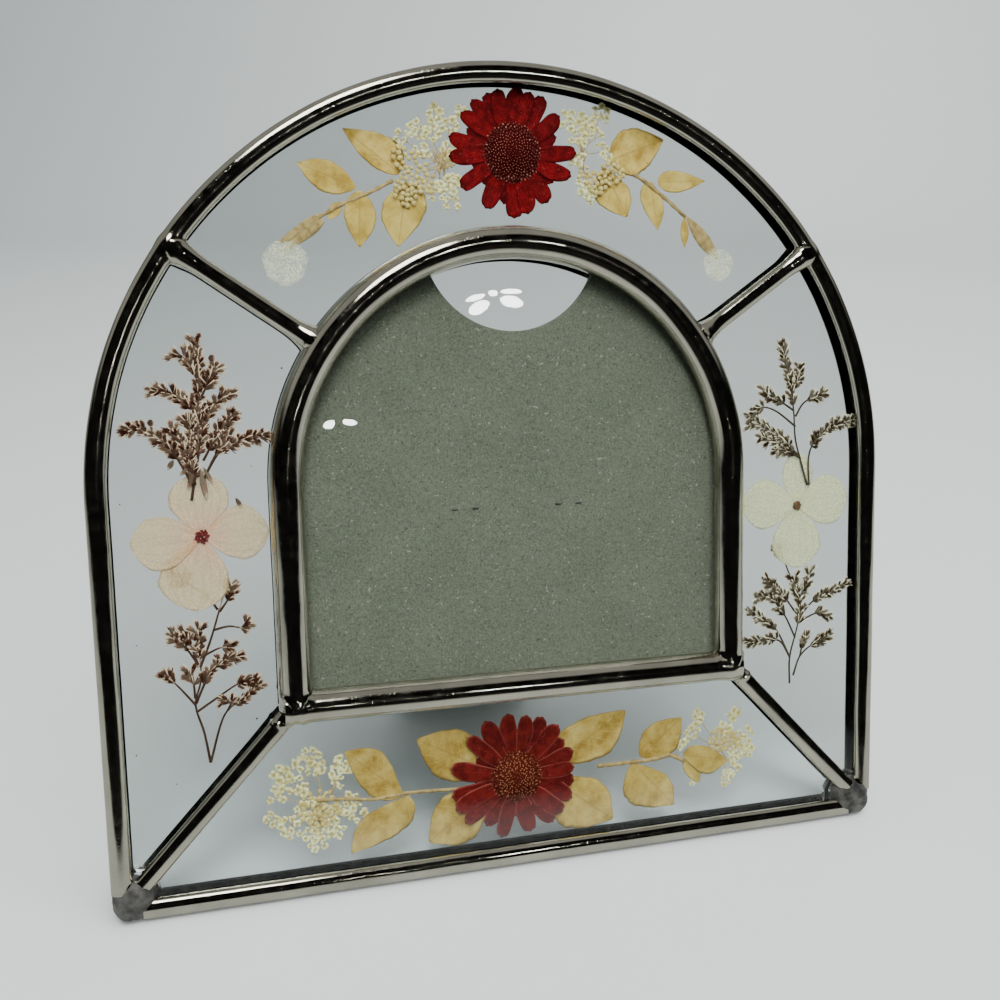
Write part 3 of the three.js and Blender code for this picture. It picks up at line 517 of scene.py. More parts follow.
SOLDER = polished_solder()
LUMP = dull_solder()
PANE = clear_glass((0.970, 1.0, 0.995), "pane_glass")
CARD = chipboard()
STEEL = hinge_steel("hinge_steel", 1.0)
DARK_STEEL = hinge_steel("staple_steel", 0.16)
LEAF = golden_leaf("golden_leaf", 1.0)
# The same leaf darkened with painted shade, for the leaves low in the frame where less light falls
SHADED_LOW_LEAF = golden_leaf("golden_leaf_painted_shade", 0.74)
LACE = cream_lace()
BROWN_STATICE = papery_statice("brown_statice", (0.040, 0.011, 0.006), (0.54, 0.43, 0.30))
OLIVE_STATICE = papery_statice("olive_statice", (0.036, 0.022, 0.010), (0.62, 0.58, 0.43))
STALK = plain_stalk("lace_stalk", (0.58, 0.44, 0.18), (0.30, 0.21, 0.07))
BUD = plain_stalk("dried_bud", (0.47, 0.35, 0.145), (0.22, 0.15, 0.06))
TOP_RED = petal_red("top_daisy_petal", (0.080, 0.001, 0.0015), (0.31, 0.007, 0.012), (0.035, 0.0005, 0.001))
LOW_RED = petal_red("bottom_daisy_petal", (0.085, 0.005, 0.004), (0.20, 0.016, 0.012), (0.24, 0.060, 0.045))
TOP_DISC = disc_florets("top_daisy_disc", (0.038, 0.002, 0.002), (0.52, 0.20, 0.15))
LOW_DISC = disc_florets("bottom_daisy_disc", (0.070, 0.008, 0.004), (0.46, 0.20, 0.10))
LEFT_PAPER = thin_petal("left_hydrangea_petal", (0.79, 0.63, 0.37), (0.80, 0.05, 0.09), 0.60, 0.46, 0.80)
RIGHT_PAPER = thin_petal("right_hydrangea_petal", (0.80, 0.80, 0.48), (0.42, 0.30, 0.16), 0.16, 0.42, 0.78)
PALE = thin_petal("pale_petal", (0.84, 0.84, 0.60), (0.84, 0.84, 0.60), 0.1, 0.10, 0.66, 0.74, 0)
RED_KNOB = plain_stalk("red_knob", (0.22, 0.022, 0.024), (0.06, 0.008, 0.008))
BROWN_KNOB = plain_stalk("brown_knob", (0.17, 0.10, 0.05), (0.06, 0.035, 0.02))

# ---------------------------------------------------------------- metalwork

SLOT_HALF = 2.85
OUTER_HALF, OUTER_DOME, OUTER_RADIUS, OUTER_SPRING = 2.3, 1.55, 92.6, 91.7
INNER_HALF, INNER_DOME, INNER_RADIUS, INNER_SPRING = 3.75, 3.9, 53.4, 93.9
REAR_DOME = 1.5
SILL_HEIGHT = 44.2
WEB_OUTSIDE = 0.9
INNER_WEB = 0.6
SEAM_HALF, SEAM_DOME, SEAM_WEB = 2.1, 1.5, 0.6
UPPER_SEAM_ANGLE = math.radians(34.6)
LOWER_SEAM_IN, LOWER_SEAM_OUT = (55.6, 42.4), (89.2, 6.6)
BLEND = 1.1  # how far the solder of a joint creeps
RIPPLE = 0.06  # how unevenly the solder was run
BLOB_RINGS, BLOB_SIDES = 30, 56
FARTHEST, FOREMOST = 94.95, 3.85  # greatest u, and greatest w at the table
CORNER = 2.6  # radius of the bottom corners


class Arch:
    """Leg, half circle and leg, run anticlockwise from the right foot."""

    def __init__(self, radius, spring, foot):
        self.radius, self.spring, self.foot = radius, spring, foot

    def stations(self, step):
        leg, arc = self.spring - self.foot, math.pi * self.radius
        along = np.linspace(0, 2 * leg + arc, round((2 * leg + arc) / step) + 1)
        angle = np.clip((along - leg) / self.radius, 0, math.pi)
        height = np.where(along < leg, self.foot + along, self.spring)
        height = np.where(along > leg + arc, self.spring - (along - leg - arc), height)
        normal = np.stack([np.cos(angle), np.sin(angle)], axis=1)
        middle = np.stack([self.radius * normal[:, 0], height + self.radius * normal[:, 1]], axis=1)
        return along, middle, normal

    def distance(self, points):
        u, v = points[:, 0], points[:, 1] - self.spring
        low = np.maximum(0, self.foot - points[:, 1])
        return np.where(v > 0, np.abs(np.hypot(u, v) - self.radius), np.hypot(np.abs(u) - self.radius, low))


class Bar:
    """A straight run from one point to another."""

    def __init__(self, start, end):
        self.start, self.end = np.array(start, float), np.array(end, float)

    def stations(self, step):
        run = self.end - self.start
        length = float(np.hypot(*run))
        along = np.linspace(0, length, round(length / step) + 1)
        normal = np.tile(np.array([-run[1], run[0]]) / length, (len(along), 1))
        return along, self.start + run * (along / length)[:, None], normal

    def distance(self, points):
        run = self.end - self.start
        share = np.clip((points[:, :2] - self.start) @ run / (run @ run), 0, 1)
        return np.linalg.norm(points[:, :2] - self.start - run * share[:, None], axis=1)


class Bead:
    """Solder bead over a came or seam: its line, half width and height at the front."""

    def __init__(self, line, half, height):
        self.line, self.half, self.height = line, half, height

    def depth_outside(self, points):
        """About how far each point lies outside the bead, negative inside it."""
        dome = np.where(points[:, 2] > 0, self.height, REAR_DOME)
        rise = np.maximum(0, np.abs(points[:, 2]) - SLOT_HALF) / dome
        reach = np.hypot(self.line.distance(points) / self.half, rise)
        return (reach - 1) * min(self.half, self.height)


def half_round(half, base, height, count):
    """Section of a bead: points [outwards, towards the viewer] from edge to edge."""
    angle = math.pi * (1 - np.arange(count + 1) / count)
    side = math.copysign(1, height)
    return np.stack([side * half * np.cos(angle), base + height * np.sin(angle)], axis=1)


def came_section(half, height, webs, fine=22):
    """Front bead, rear bead and the web between them; webs are its two faces."""
    front = half_round(half, SLOT_HALF, height, fine)
    rear = half_round(half, -SLOT_HALF, -REAR_DOME, fine // 2)
    high, low = webs
    right = [] if high == half else [[high, SLOT_HALF], [high, -SLOT_HALF]]
    left = [] if low == -half else [[low, -SLOT_HALF], [low, SLOT_HALF]]
    return np.array([*front, *right, *rear, *left])


def sway(along, seed, wave):
    """Slow irregularity along a bead, from -1 to 1."""
    return np.array([noise.noise(Vector((s / wave, seed, 0.37))) for s in along])


def sweep(bead, section, seed, step, swell):
    """Draft of a bead swept along its line, uneven as hand-run solder is."""
    along, middle, normal = bead.line.stations(step)
    shift = RIPPLE * sway(along, seed, 17) + 0.4 * RIPPLE * sway(along, seed + 9, 5)
    lift = 1 + 0.8 * RIPPLE * sway(along, seed + 5, 11)
    grow = np.ones(len(along)) if swell is None else swell(along, along[-1])
    front = np.maximum(0, section[:, 1] - SLOT_HALF)
    back = np.minimum(0, section[:, 1] + SLOT_HALF)
    body = np.clip(section[:, 1], -SLOT_HALF, SLOT_HALF)
    out = section[None, :, 0] * grow[:, None] + shift[:, None]
    depth = body[None] + front[None] * (lift * grow**1.5)[:, None] + back[None] * grow[:, None]
    plane = middle[:, None, :] + normal[:, None, :] * out[..., None]
    draft = Draft()
    faces = tube_faces(len(along), len(section))
    draft.add(np.concatenate([plane, depth[..., None]], axis=2), faces, (0, 0, 0))
    return draft


def vertex_normals(draft):
    mesh = bpy.data.meshes.new("scratch")
    mesh.from_pydata(draft.points, [], draft.faces)
    shape = bmesh.new()
    shape.from_mesh(mesh)
    bmesh.ops.recalc_face_normals(shape, faces=shape.faces)
    shape.normal_update()
    normals = np.array([v.normal[:] for v in shape.verts])
    shape.free()
    bpy.data.meshes.remove(mesh)
    return normals


def run_into(draft, neighbours):
    """Fills the corner where a bead meets its neighbours, as molten solder does."""
    points = np.array(draft.points)
    outside = np.min([bead.depth_outside(points) for bead in neighbours], axis=0)
    near = np.clip(1 - np.abs(outside) / BLEND, 0, 1) ** 2
    shown = np.clip(1 + outside / (0.35 * BLEND), 0, 1)
    bulge = 0.42 * BLEND * near * shown
    draft.points = (points + vertex_normals(draft) * bulge[:, None]).tolist()


def polar(radius, angle):
    return (radius * math.cos(angle), INNER_SPRING + radius * math.sin(angle))


def seam_swell(first, second):
    """A seam widens into the knots at its ends: amounts at its start and end."""

    def swell(along, length):
        start = first * np.exp(-((along - 3.2) / 3.1) ** 2)
        end = second * np.exp(-((length - along - 2.6) / 2.6) ** 2)
        return 1 + start + end

    return swell


BEADS = {
    "outer_came_arch": Bead(Arch(OUTER_RADIUS, OUTER_SPRING, 6.6), OUTER_HALF, OUTER_DOME),
    "outer_came_base": Bead(Bar((88.4, OUTER_HALF), (-88.4, OUTER_HALF)), OUTER_HALF, OUTER_DOME),
    "inner_came_arch": Bead(Arch(INNER_RADIUS, INNER_SPRING, SILL_HEIGHT), INNER_HALF, INNER_DOME),
    "inner_came_sill": Bead(Bar((56, SILL_HEIGHT - 0.3), (-56, SILL_HEIGHT + 0.3)), INNER_HALF, INNER_DOME),
}
for side, word in ((-1, "left"), (1, "right")):
    turn = math.pi - UPPER_SEAM_ANGLE if side < 0 else UPPER_SEAM_ANGLE
    upper = Bar(polar(INNER_RADIUS, turn), polar(91, turn))
    lower = Bar(LOWER_SEAM_IN * np.array((side, 1)), LOWER_SEAM_OUT * np.array((side, 1)))
    BEADS[f"seam_upper_{word}"] = Bead(upper, SEAM_HALF, SEAM_DOME)
    BEADS[f"seam_lower_{word}"] = Bead(lower, SEAM_HALF, SEAM_DOME)

SECTIONS = {
    "outer": came_section(OUTER_HALF, OUTER_DOME, (OUTER_HALF, WEB_OUTSIDE)),  # its slot opens inwards only
    "inner": came_section(INNER_HALF, INNER_DOME, (WEB_OUTSIDE, -INNER_WEB), 30),
    "seam": came_section(SEAM_HALF, SEAM_DOME, (SEAM_WEB, -SEAM_WEB)),
}
SWELLS = {"seam_upper": seam_swell(0.40, 0.30), "seam_lower": seam_swell(0.05, 0.0)}


def build_beads():
    for seed, (node, bead) in enumerate(BEADS.items()):
        family = node.split("_")[0]
        swell = SWELLS.get(node.rsplit("_", 1)[0])
        step = 0.5 if family == "seam" else 0.7
        draft = sweep(bead, SECTIONS[family], 3.1 * seed + 1, step, swell)
        run_into(draft, [other for name, other in BEADS.items() if name != node])
        rest_on_table(draft)
        if node == "inner_came_sill":
            add_blob(draft, (-51.3, 45.2, SLOT_HALF), (4.4, 3.5, 4.05))
            add_blob(draft, (52.0, 45.0, SLOT_HALF), (3.2, 3.2, 4.0))
        make(f"{node}_bead", [(draft, SOLDER)], [node], crease=50)


def rest_on_table(draft):
    """Flattens whatever would reach below the table or past the frame's outer edges."""
    for point in draft.points:
        point[2] = min(point[2], FOREMOST + point[1] * math.tan(LEAN))
        point[1] = max(point[1], -point[2] * math.tan(LEAN))
        dip = min(max(CORNER - point[1], 0.0), CORNER)
        reach = FARTHEST - CORNER + math.sqrt(CORNER**2 - dip**2)
        point[0] = min(max(point[0], -reach), reach)


def add_blob(draft, centre, radii, rough=0.0, seed=0.0, fullness=2):
    """A closed lump of solder: an ellipsoid, or boxier past a fullness of 2."""
    theta = 2 * math.pi * np.arange(BLOB_SIDES) / BLOB_SIDES
    phi = math.pi * (np.arange(BLOB_RINGS) + 0.5) / BLOB_RINGS
    across, along = np.outer(np.sin(phi), np.cos(theta)), np.outer(np.sin(phi), np.sin(theta))
    unit = np.dstack([across, along, np.outer(np.cos(phi), np.ones(BLOB_SIDES))]).reshape(-1, 3)
    shift = Vector((seed, 0, 0))
    coarse = np.array([noise.noise(Vector(p) * 1.7 + shift) for p in unit])
    fine = np.array([noise.noise(Vector(p) * 5 + shift) for p in unit])
    lumps = coarse + 0.5 * fine
    unit /= (np.abs(unit) ** fullness).sum(axis=1)[:, None] ** (1 / fullness)
    points = np.array(centre) + unit * np.array(radii) * (1 + rough * lumps)[:, None]
    draft.add(points, tube_faces(BLOB_RINGS, BLOB_SIDES), (0, 0, 0))


def build_corner(word, centre, radii, seed):
    """Dull lump of solder over an outer corner."""
    draft = Draft()
    add_blob(draft, centre, radii, 0.09, seed, fullness=3)
    rest_on_table(draft)
    make(f"corner_solder_{word}_lump", [(draft, LUMP)], [f"corner_solder_{word}"])


# ---------------------------------------------------------------- glass, board and strut


def paint_node(name, material):
    node = frame["nodes"][name]
    if node.material_slots:
        node.material_slots[0].material = material
    else:
        node.data.materials.append(material)


def build_glass():
    for panel in ("top", "left", "right", "bottom"):
        for face in ("front", "rear"):
            paint_node(f"pane_{panel}_{face}", PANE)
    paint_node("photo_glass", PANE)


BOARD_FRONT, BOARD_REAR = 0.1, -2.1
OPENING_RADIUS, OPENING_FOOT = 52.5, 45.1
NOTCH_RADIUS, NOTCH_CENTRE = 21.0, 148.5


def board_outline():
    """Arched board with a round thumb notch cut into its top."""
    arc = []
    for angle in np.linspace(0, math.pi, 121):
        u = OPENING_RADIUS * math.cos(angle)
        v = INNER_SPRING + OPENING_RADIUS * math.sin(angle)
        arc.append((u, v))
    inside = [math.hypot(u, v - NOTCH_CENTRE) < NOTCH_RADIUS for u, v in arc]
    first = inside.index(True)
    last = len(arc) - inside[::-1].index(True)
    start = math.atan2(arc[first - 1][1] - NOTCH_CENTRE, arc[first - 1][0])
    end = math.atan2(arc[last][1] - NOTCH_CENTRE, arc[last][0]) - 2 * math.pi
    end += 2 * math.pi if end < -2 * math.pi else 0
    notch = [
        (NOTCH_RADIUS * math.cos(a), NOTCH_CENTRE + NOTCH_RADIUS * math.sin(a))
        for a in np.linspace(start, end, 49)[1:-1]
    ]
    legs = [(-OPENING_RADIUS, OPENING_FOOT), (OPENING_RADIUS, OPENING_FOOT)]
    return arc[:first] + notch + arc[last:] + legs


def add_plate(draft, outline, rear, front):
    count = len(outline)
    points = [(u, v, front) for u, v in outline] + [(u, v, rear) for u, v in outline]
    sides = [(i, (i + 1) % count, (i + 1) % count + count, i + count) for i in range(count)]
    draft.add(points, [tuple(range(count)), tuple(range(2 * count - 1, count - 1, -1)), *sides], (0, 0, 0))


def soften(piece, width):
    """Rounds a piece's sharp edges."""
    modifier = piece.modifiers.new("rounded_edges", "BEVEL")
    modifier.width = width * MM
    modifier.segments = 2
    modifier.limit_method = "ANGLE"
    modifier.angle_limit = math.radians(40)


def build_board():
    draft = Draft()
    add_plate(draft, board_outline(), BOARD_REAR, BOARD_FRONT)
    piece = make("backing_board_card", [(draft, CARD)], ["backing_board"], crease=40)
    soften(piece, 0.15)


STAPLE_X, STAPLE_HEIGHT, STAPLE_HALF, STAPLE_WIRE = 12.6, 86.8, 3.1, 0.24


def build_staple(word, centre):
    """Wire staple: crown behind the hinge leaf, legs through the board, points turned inwards."""
    wire = Draft()
    crown = -3.0 - STAPLE_WIRE
    legs = [(STAPLE_HALF, crown), (STAPLE_HALF, 0.05)]
    half = [*legs, (STAPLE_HALF - 0.35, 0.22), (STAPLE_HALF - 1.3, 0.14)]
    line = [(centre - u, STAPLE_HEIGHT, w) for u, w in reversed(half)]
    line += [(centre + u, STAPLE_HEIGHT, w) for u, w in half]
    add_tube(wire, line, STAPLE_WIRE, sides=8)
    make(f"staple_{word}_wire", [(wire, DARK_STEEL)], [f"staple_{word}"], crease=50)


def build_rear():
    """The hinge and strut keep the CAD's own shape, with their edges rounded."""
    for name in ("hinge_leaf_board", "hinge_pin", "hinge_leaf_strut"):
        paint_node(name, STEEL)
        soften(frame["nodes"][name], 0.12)
    paint_node("easel_strut", CARD)
    soften(frame["nodes"]["easel_strut"], 0.25)
    build_staple("left", -STAPLE_X)
    build_staple("right", STAPLE_X)


# ---------------------------------------------------------------- pressed flowers

THICK = 0.1  # of a pressed petal or leaf
PAPER_THICK = 0.05  # of a papery sepal
RIM_POINTS = 48  # round the foot of a daisy's disc
DISC_FLORETS = 330
KNOB_GRAINS = 26  # in the heart of a hydrangea floret
GOLDEN_ANGLE = 2.399963
FRONT, MIDDLE, REAR = 0.42, 0.02, -0.38  # depths at which the pressed pieces lie
LIMIT = 0.64  # deepest or highest that anything reaches between the panes


def flat(at, depth):
    return (at[0], at[1], depth)


def squeeze(draft):
    """Keeps every point clear of the two panes, as pressed flowers are."""
    for point in draft.points:
        point[2] = min(max(point[2], -LIMIT), LIMIT)
    return draft


def turned(angle, length=1.0):
    return np.array([math.cos(angle), math.sin(angle)]) * length


def anyhow(rng, length):
    """A step of the given length in any direction."""
    return turned(rng.uniform(0, 6.28), length)


def square_to(run):
    return np.array([-run[1], run[0]]) / math.hypot(*run)


def level(points, depth):
    return [flat(p, depth) for p in points]


def shares(rows, columns, first=0.0, last=1.0):
    """Shares along a piece as a column, and from -1 to 1 across it as a row."""
    return np.linspace(first, last, rows)[:, None], np.linspace(-1, 1, columns)[None, :]


def add_petal(draft, base, tip, width, depth, tone, rng, blunt=0.45):
    """A ray petal: narrow at its foot, widest past the middle, with a blunt toothed end."""
    base, tip = np.array(base, float), np.array(tip, float)
    run = tip - base
    aside = square_to(run)
    t, s = shares(15, 11)
    foot = 0.42 + 0.58 * np.sin(np.clip(t / 0.60, 0, 1) * math.pi / 2) ** 1.2
    end = np.sqrt(1 - (1 - blunt**2) * np.clip((t - 0.60) / 0.40, 0, 1) ** 2.4)
    wander = 1 + 0.05 * np.sin(t * 9 + 20 * tone) * np.abs(s)
    teeth = 0.022 * (1 - np.cos(2 * math.pi * s + tone)) / 2
    reach = t * (1 - (0.055 * s**2 + teeth) * t**3)
    side = s * foot * end * wander * width / 2
    bow = rng.uniform(-0.05, 0.05) * math.hypot(*run) * np.sin(math.pi * t)
    plane = base + run * reach[..., None] + aside * (side + bow)[..., None]
    crease = 0.035 * np.cos(2.5 * math.pi * s) - 0.05 * s**2 + 0.04 * np.sin(2 * math.pi * (t + tone))
    grid = np.dstack([plane, depth + crease])
    add_blade(draft, grid, THICK, grid_paint(t, s, tone))


def add_rays(rays, centre, radius, tips, width, rng):
    """Short petals behind the gaps, then one petal out to each tip."""
    angles = sorted(math.atan2(v - centre[1], u - centre[0]) for u, v in tips)
    for a, b in zip(angles, angles[1:] + [angles[0] + 2 * math.pi]):
        middle = (a + b) / 2 + rng.uniform(-0.06, 0.06)
        length = radius * rng.uniform(1.45, 1.80)
        foot, tip = centre + turned(middle, 3), centre + turned(middle, length)
        add_petal(rays, foot, tip, 0.9 * width, 0.26, 1.0, rng)
    for i, (u, v) in enumerate(tips):
        away = np.array([u, v]) - centre
        foot = centre + away / np.hypot(*away) * radius * 0.55
        layer = (0.34, 0.40, 0.46)[(i * 2) % 3]
        breadth, tone, blunt = width * rng.uniform(0.92, 1.12), rng.uniform(0, 0.7), rng.uniform(0.5, 0.68)
        add_petal(rays, foot, (u, v), breadth, layer, tone, rng, blunt)


def add_disc(florets, centre, radius, fuzz, rng):
    """Tiny florets set in spirals on a thin plate, the outer ones lying every which way."""
    rim = []
    for a in np.linspace(0, 2 * math.pi, RIM_POINTS, endpoint=False):
        reach = radius * (0.95 + 0.03 * math.sin(7 * a) + 0.03 * math.sin(13 * a + 1))
        rim.append(flat(centre + turned(a, reach), 0.53))
    base = np.concatenate([rim, np.array(rim) + (0, 0, 0.03)])
    florets.add(base, tube_faces(2, RIM_POINTS), (0, 0, 1))
    for i in range(DISC_FLORETS):
        share = math.sqrt((i + 0.5) / DISC_FLORETS)
        at = centre + turned(i * GOLDEN_ANGLE, radius * share) + anyhow(rng, 0.45 * fuzz)
        outer = share > 0.72
        lean = turned(i * GOLDEN_ANGLE + rng.uniform(-0.7, 0.7), rng.uniform(0.4, 0.8) if outer else fuzz)
        height = 0.60 if share < 0.7 else 0.57
        size = rng.uniform(0.15, 0.24) if outer else 0.13 + 0.05 * share
        dim = rng.uniform(0.75, 1.0) if rng.random() < 0.8 else 0.2
        tone = dim if outer else rng.uniform(0, 0.35) + 0.6 * (share < 0.22)
        foot, tip = flat(at - lean, 0.54), flat(at + lean * 0.6, height)
        add_spindle(florets, foot, tip, size, min(tone, 1.0), sides=5, rings=4)


def build_daisy(node, centre, radius, tips, width, petals, disc, fuzz, seed):
    rng = random.Random(seed)
    centre = np.array(centre)
    rays, florets = Draft(), Draft()
    add_rays(rays, centre, radius, tips, width, rng)
    add_disc(florets, centre, radius, fuzz, rng)
    make(f"{node}_flower", [(squeeze(rays), petals), (squeeze(florets), disc)], [node])


def add_leaf(draft, base, tip, sides, depth, tone, seed):
    """Pressed leaf from base to tip.  sides are where its two edges are furthest out."""
    base, tip = np.array(base, float), np.array(tip, float)
    run = tip - base
    aside = square_to(run)
    length = math.hypot(*run)
    edges = []
    for side in sorted(sides, key=lambda p: (np.array(p, float) - base) @ aside):
        away = np.array(side, float) - base
        peak = min(max(away @ run / length**2, 0.3), 0.62)
        edges.append((away @ aside, math.log(0.5) / math.log(peak)))
    t, s = shares(30, 13, 0.012, 0.992)
    ragged = 1 + 0.02 * np.sin(23 * t + seed) + 0.015 * np.sin(51 * t + 2 * seed)
    low, high = [half * np.sin(math.pi * t**skew) ** 0.82 * ragged for half, skew in edges]
    side = np.where(s < 0, -s * low, s * high)
    point = 0.03 * length * np.clip((t - 0.93) / 0.07, 0, 1)
    plane = base + run * t[..., None] + aside * side[..., None] + (run / length) * point[..., None]
    fold = 0.07 * np.abs(s) ** 1.5 - 0.03 + 0.03 * np.sin(6 * t + seed) * s
    grid = np.dstack([plane, depth + fold])
    add_blade(draft, grid, THICK, grid_paint(t, s, tone))


def add_floret(draft, at, depth, size, tone, rng):
    """Tiny floret of a lace umbel: four or five uneven petals, pressed askew."""
    start, count = rng.uniform(0, 2 * math.pi), rng.choice((4, 5, 5))
    for i in range(count):
        away = turned(start + i * 2 * math.pi / count + rng.uniform(-0.45, 0.45))
        inner, outer = at + away * size * 0.06, at + away * size * rng.uniform(0.6, 1.15)
        lift = depth + rng.uniform(-0.05, 0.05)
        breadth = size * rng.uniform(0.30, 0.54)
        add_spindle(draft, flat(inner, depth), flat(outer, lift), breadth, tone, 0.5, 8, 6, 0.32, 0.60)
    left, right = flat(at - (0.1, 0), depth + 0.06), flat(at + (0.1, 0), depth + 0.12)
    add_spindle(draft, left, right, size * 0.1, 0.8, rings=3)


def scatter(clusters, gap, rng):
    """Points inside round clusters (u, v, radius, count), no two nearer than the gap."""
    found = []
    for u, v, radius, count in clusters:
        placed = 0
        for _ in range(60 * count):
            at = np.array([u, v]) + turned(rng.uniform(0, 2 * math.pi), radius * math.sqrt(rng.random()))
            if placed < count and all(np.hypot(*(at - other)) > gap for other in found):
                found.append(at)
                placed += 1
    return found


def build_lace(node, core, sprays, beads, depth, seed, size, fibres):
    """Umbel of tiny cream florets: each spray's stalk leaves the core and splits to its florets."""
    rng = random.Random(seed)
    blooms, stalks = Draft(), Draft()
    for u, v, radius, count in sprays:
        hub = np.array([u, v]) * 0.86 + np.array(core) * 0.14
        bend = (np.array(core) + hub) / 2 + anyhow(rng, 0.5)
        stalk = smooth_line(level((core, bend, hub), depth - 0.1), 1.0)
        add_tube(stalks, stalk, 0.10, 0.4, 5)
        for at in scatter([(u, v, radius, int(1.12 * count))], 1.2 * size, rng):
            twig = [flat(hub, depth - 0.1), flat((hub + at) / 2, depth - 0.06), flat(at, depth)]
            add_tube(stalks, twig, 0.06, 0.5, 4)
            lift = rng.uniform(-0.08, 0.1)
            breadth = size * rng.uniform(0.7, 1.1)
            add_floret(blooms, at, depth + lift, breadth, rng.uniform(0, 0.45), rng)
    for at in scatter(beads, 0.95, rng):
        lean = anyhow(rng, 0.62)
        lift = depth + rng.uniform(0.05, 0.2)
        breadth, shade = rng.uniform(0.42, 0.66), rng.uniform(0.75, 1.0)
        add_spindle(blooms, flat(at - lean, lift), flat(at + lean, lift), breadth, shade, 0.5, 8, 6, 0.4)
    for _ in range(fibres):
        start = np.array(core) + turned(rng.uniform(0, 6.28), rng.uniform(0, 1.5))
        end = start + turned(rng.uniform(0, 6.28), rng.uniform(1.5, 3.6))
        fibre = [flat(start, depth), flat((start + end) / 2, depth + 0.12), flat(end, depth + 0.05)]
        add_tube(stalks, fibre, 0.13, 0.9, 4)
    make(f"{node}_florets", [(squeeze(blooms), LACE), (squeeze(stalks), STALK)], [node])


def build_petal_disc(node, centre, radius, depth, seed):
    """Round, very thin pale petal, speckled with cells."""
    rng = random.Random(seed)
    rim = 64
    draft = Draft()
    rings = np.linspace(0.04, 1, 14)[:, None]
    angles = 2 * math.pi * np.arange(rim + 1)[None, :] / rim
    edge = 1 + 0.04 * np.sin(3 * angles + rng.random())
    edge += 0.03 * np.sin(7 * angles) + 0.02 * np.sin(17 * angles)
    reach = radius * rings * edge
    plane = np.dstack([reach * np.cos(angles), reach * np.sin(angles), 0 * reach])
    paint = grid_paint(rings, angles / (2 * math.pi), 0.5)
    add_blade(draft, plane + flat(centre, depth), 0.06, paint)
    make(f"{node}_disc", [(draft, PALE)], [node])


def build_sprig(node, leaves, stems, depth, leaf=LEAF, buds=()):
    draft, soft = Draft(), Draft()
    for i, (base, tip, *sides) in enumerate(leaves):
        lift = depth + 0.05 * (i % 3)
        add_leaf(draft, base, tip, sides, lift, 0.25 * (i % 4), 2.1 * i + depth)
    for radius, line in stems:
        points = smooth_line(level(line, depth + 0.06), 0.8)
        wobble = 1 + 0.18 * np.sin(np.arange(len(points)) * 1.7)
        add_tube(soft, points, 0.78 * radius * wobble, 0.4, 8, 0.45)
    for radius, widest, base, tip in buds:
        add_spindle(soft, flat(base, depth), flat(tip, depth), radius, 0.8, 0.8, 14, 16, 0.22, widest)
    make(f"{node}_leaves", [(squeeze(draft), leaf), (squeeze(soft), BUD)], [node])


def add_bud(draft, at, heading, depth, rng, size):
    """Spindle-shaped statice bud between papery scales."""
    length = rng.uniform(2.0, 3.0) * size
    lift = depth + rng.uniform(-0.08, 0.16)
    tip = at + turned(heading, length)
    tone = 0.15 * rng.random() ** 2
    add_spindle(draft, flat(at, depth), flat(tip, lift), 0.5 * size, tone, 0.7, 6, 6, 0.5, 0.45)
    for turn in (-0.30, 0.28):
        scale = at + turned(heading + turn, length * rng.uniform(0.75, 1.05))
        middle = (at + scale) / 2 + turned(heading + 2.2 * turn, 0.25)
        line = smooth_line(level((at, middle, scale), lift + 0.05), 0.6)
        radii = 0.17 * size * np.sin(math.pi * np.linspace(0.06, 0.88, len(line)) ** 1.8)
        add_tube(draft, line, radii, rng.choice((0.0, 0.1, 0.7, 1.0)), 5, 0.5)


def build_statice(node, stems, depth, seed, tissue, beads=(), scales=()):
    """Branching statice.  Each stem is (share along it where its buds start, points).

    beads are round buds and the crumbs that fell from them; scales are (u, v, length, heading,
    radius, tone) of the papery bracts at its foot.
    """
    rng = random.Random(seed)
    draft = Draft()
    for start, points in stems:
        line = smooth_line(level(points, depth), 0.75)
        radii = np.linspace(0.30, 0.16, len(line))
        add_tube(draft, line, radii, 0.04, 6, 0.7)
        for i in range(int(start * (len(line) - 1)), len(line)):
            ahead = line[min(i + 1, len(line) - 1)] - line[max(i - 1, 0)]
            heading = math.atan2(ahead[1], ahead[0])
            for turn in (-1, 0, 1):
                angle = heading + turn * rng.uniform(0.25, 0.95) + rng.uniform(-0.25, 0.25)
                if turn or i % 2 == 0:
                    foot = line[i][:2] + turned(angle, 0.2)
                    add_bud(draft, foot, angle, depth, rng, rng.uniform(0.75, 1.1))
    for u, v, radius in beads:
        left, right = flat((u - radius, v), depth + 0.1), flat((u + radius, v), depth + 0.1)
        add_spindle(draft, left, right, radius, 0.05, 0.5, 10, 8, 0.4)
    for u, v, length, heading, radius, tone in scales:
        tip = (u, v) + turned(math.radians(heading), length)
        add_spindle(draft, flat((u, v), depth + 0.1), flat(tip, depth + 0.1), radius, tone, 0.8, 8, 8, 0.2)
    make(f"{node}_buds", [(squeeze(draft), tissue)], [node])


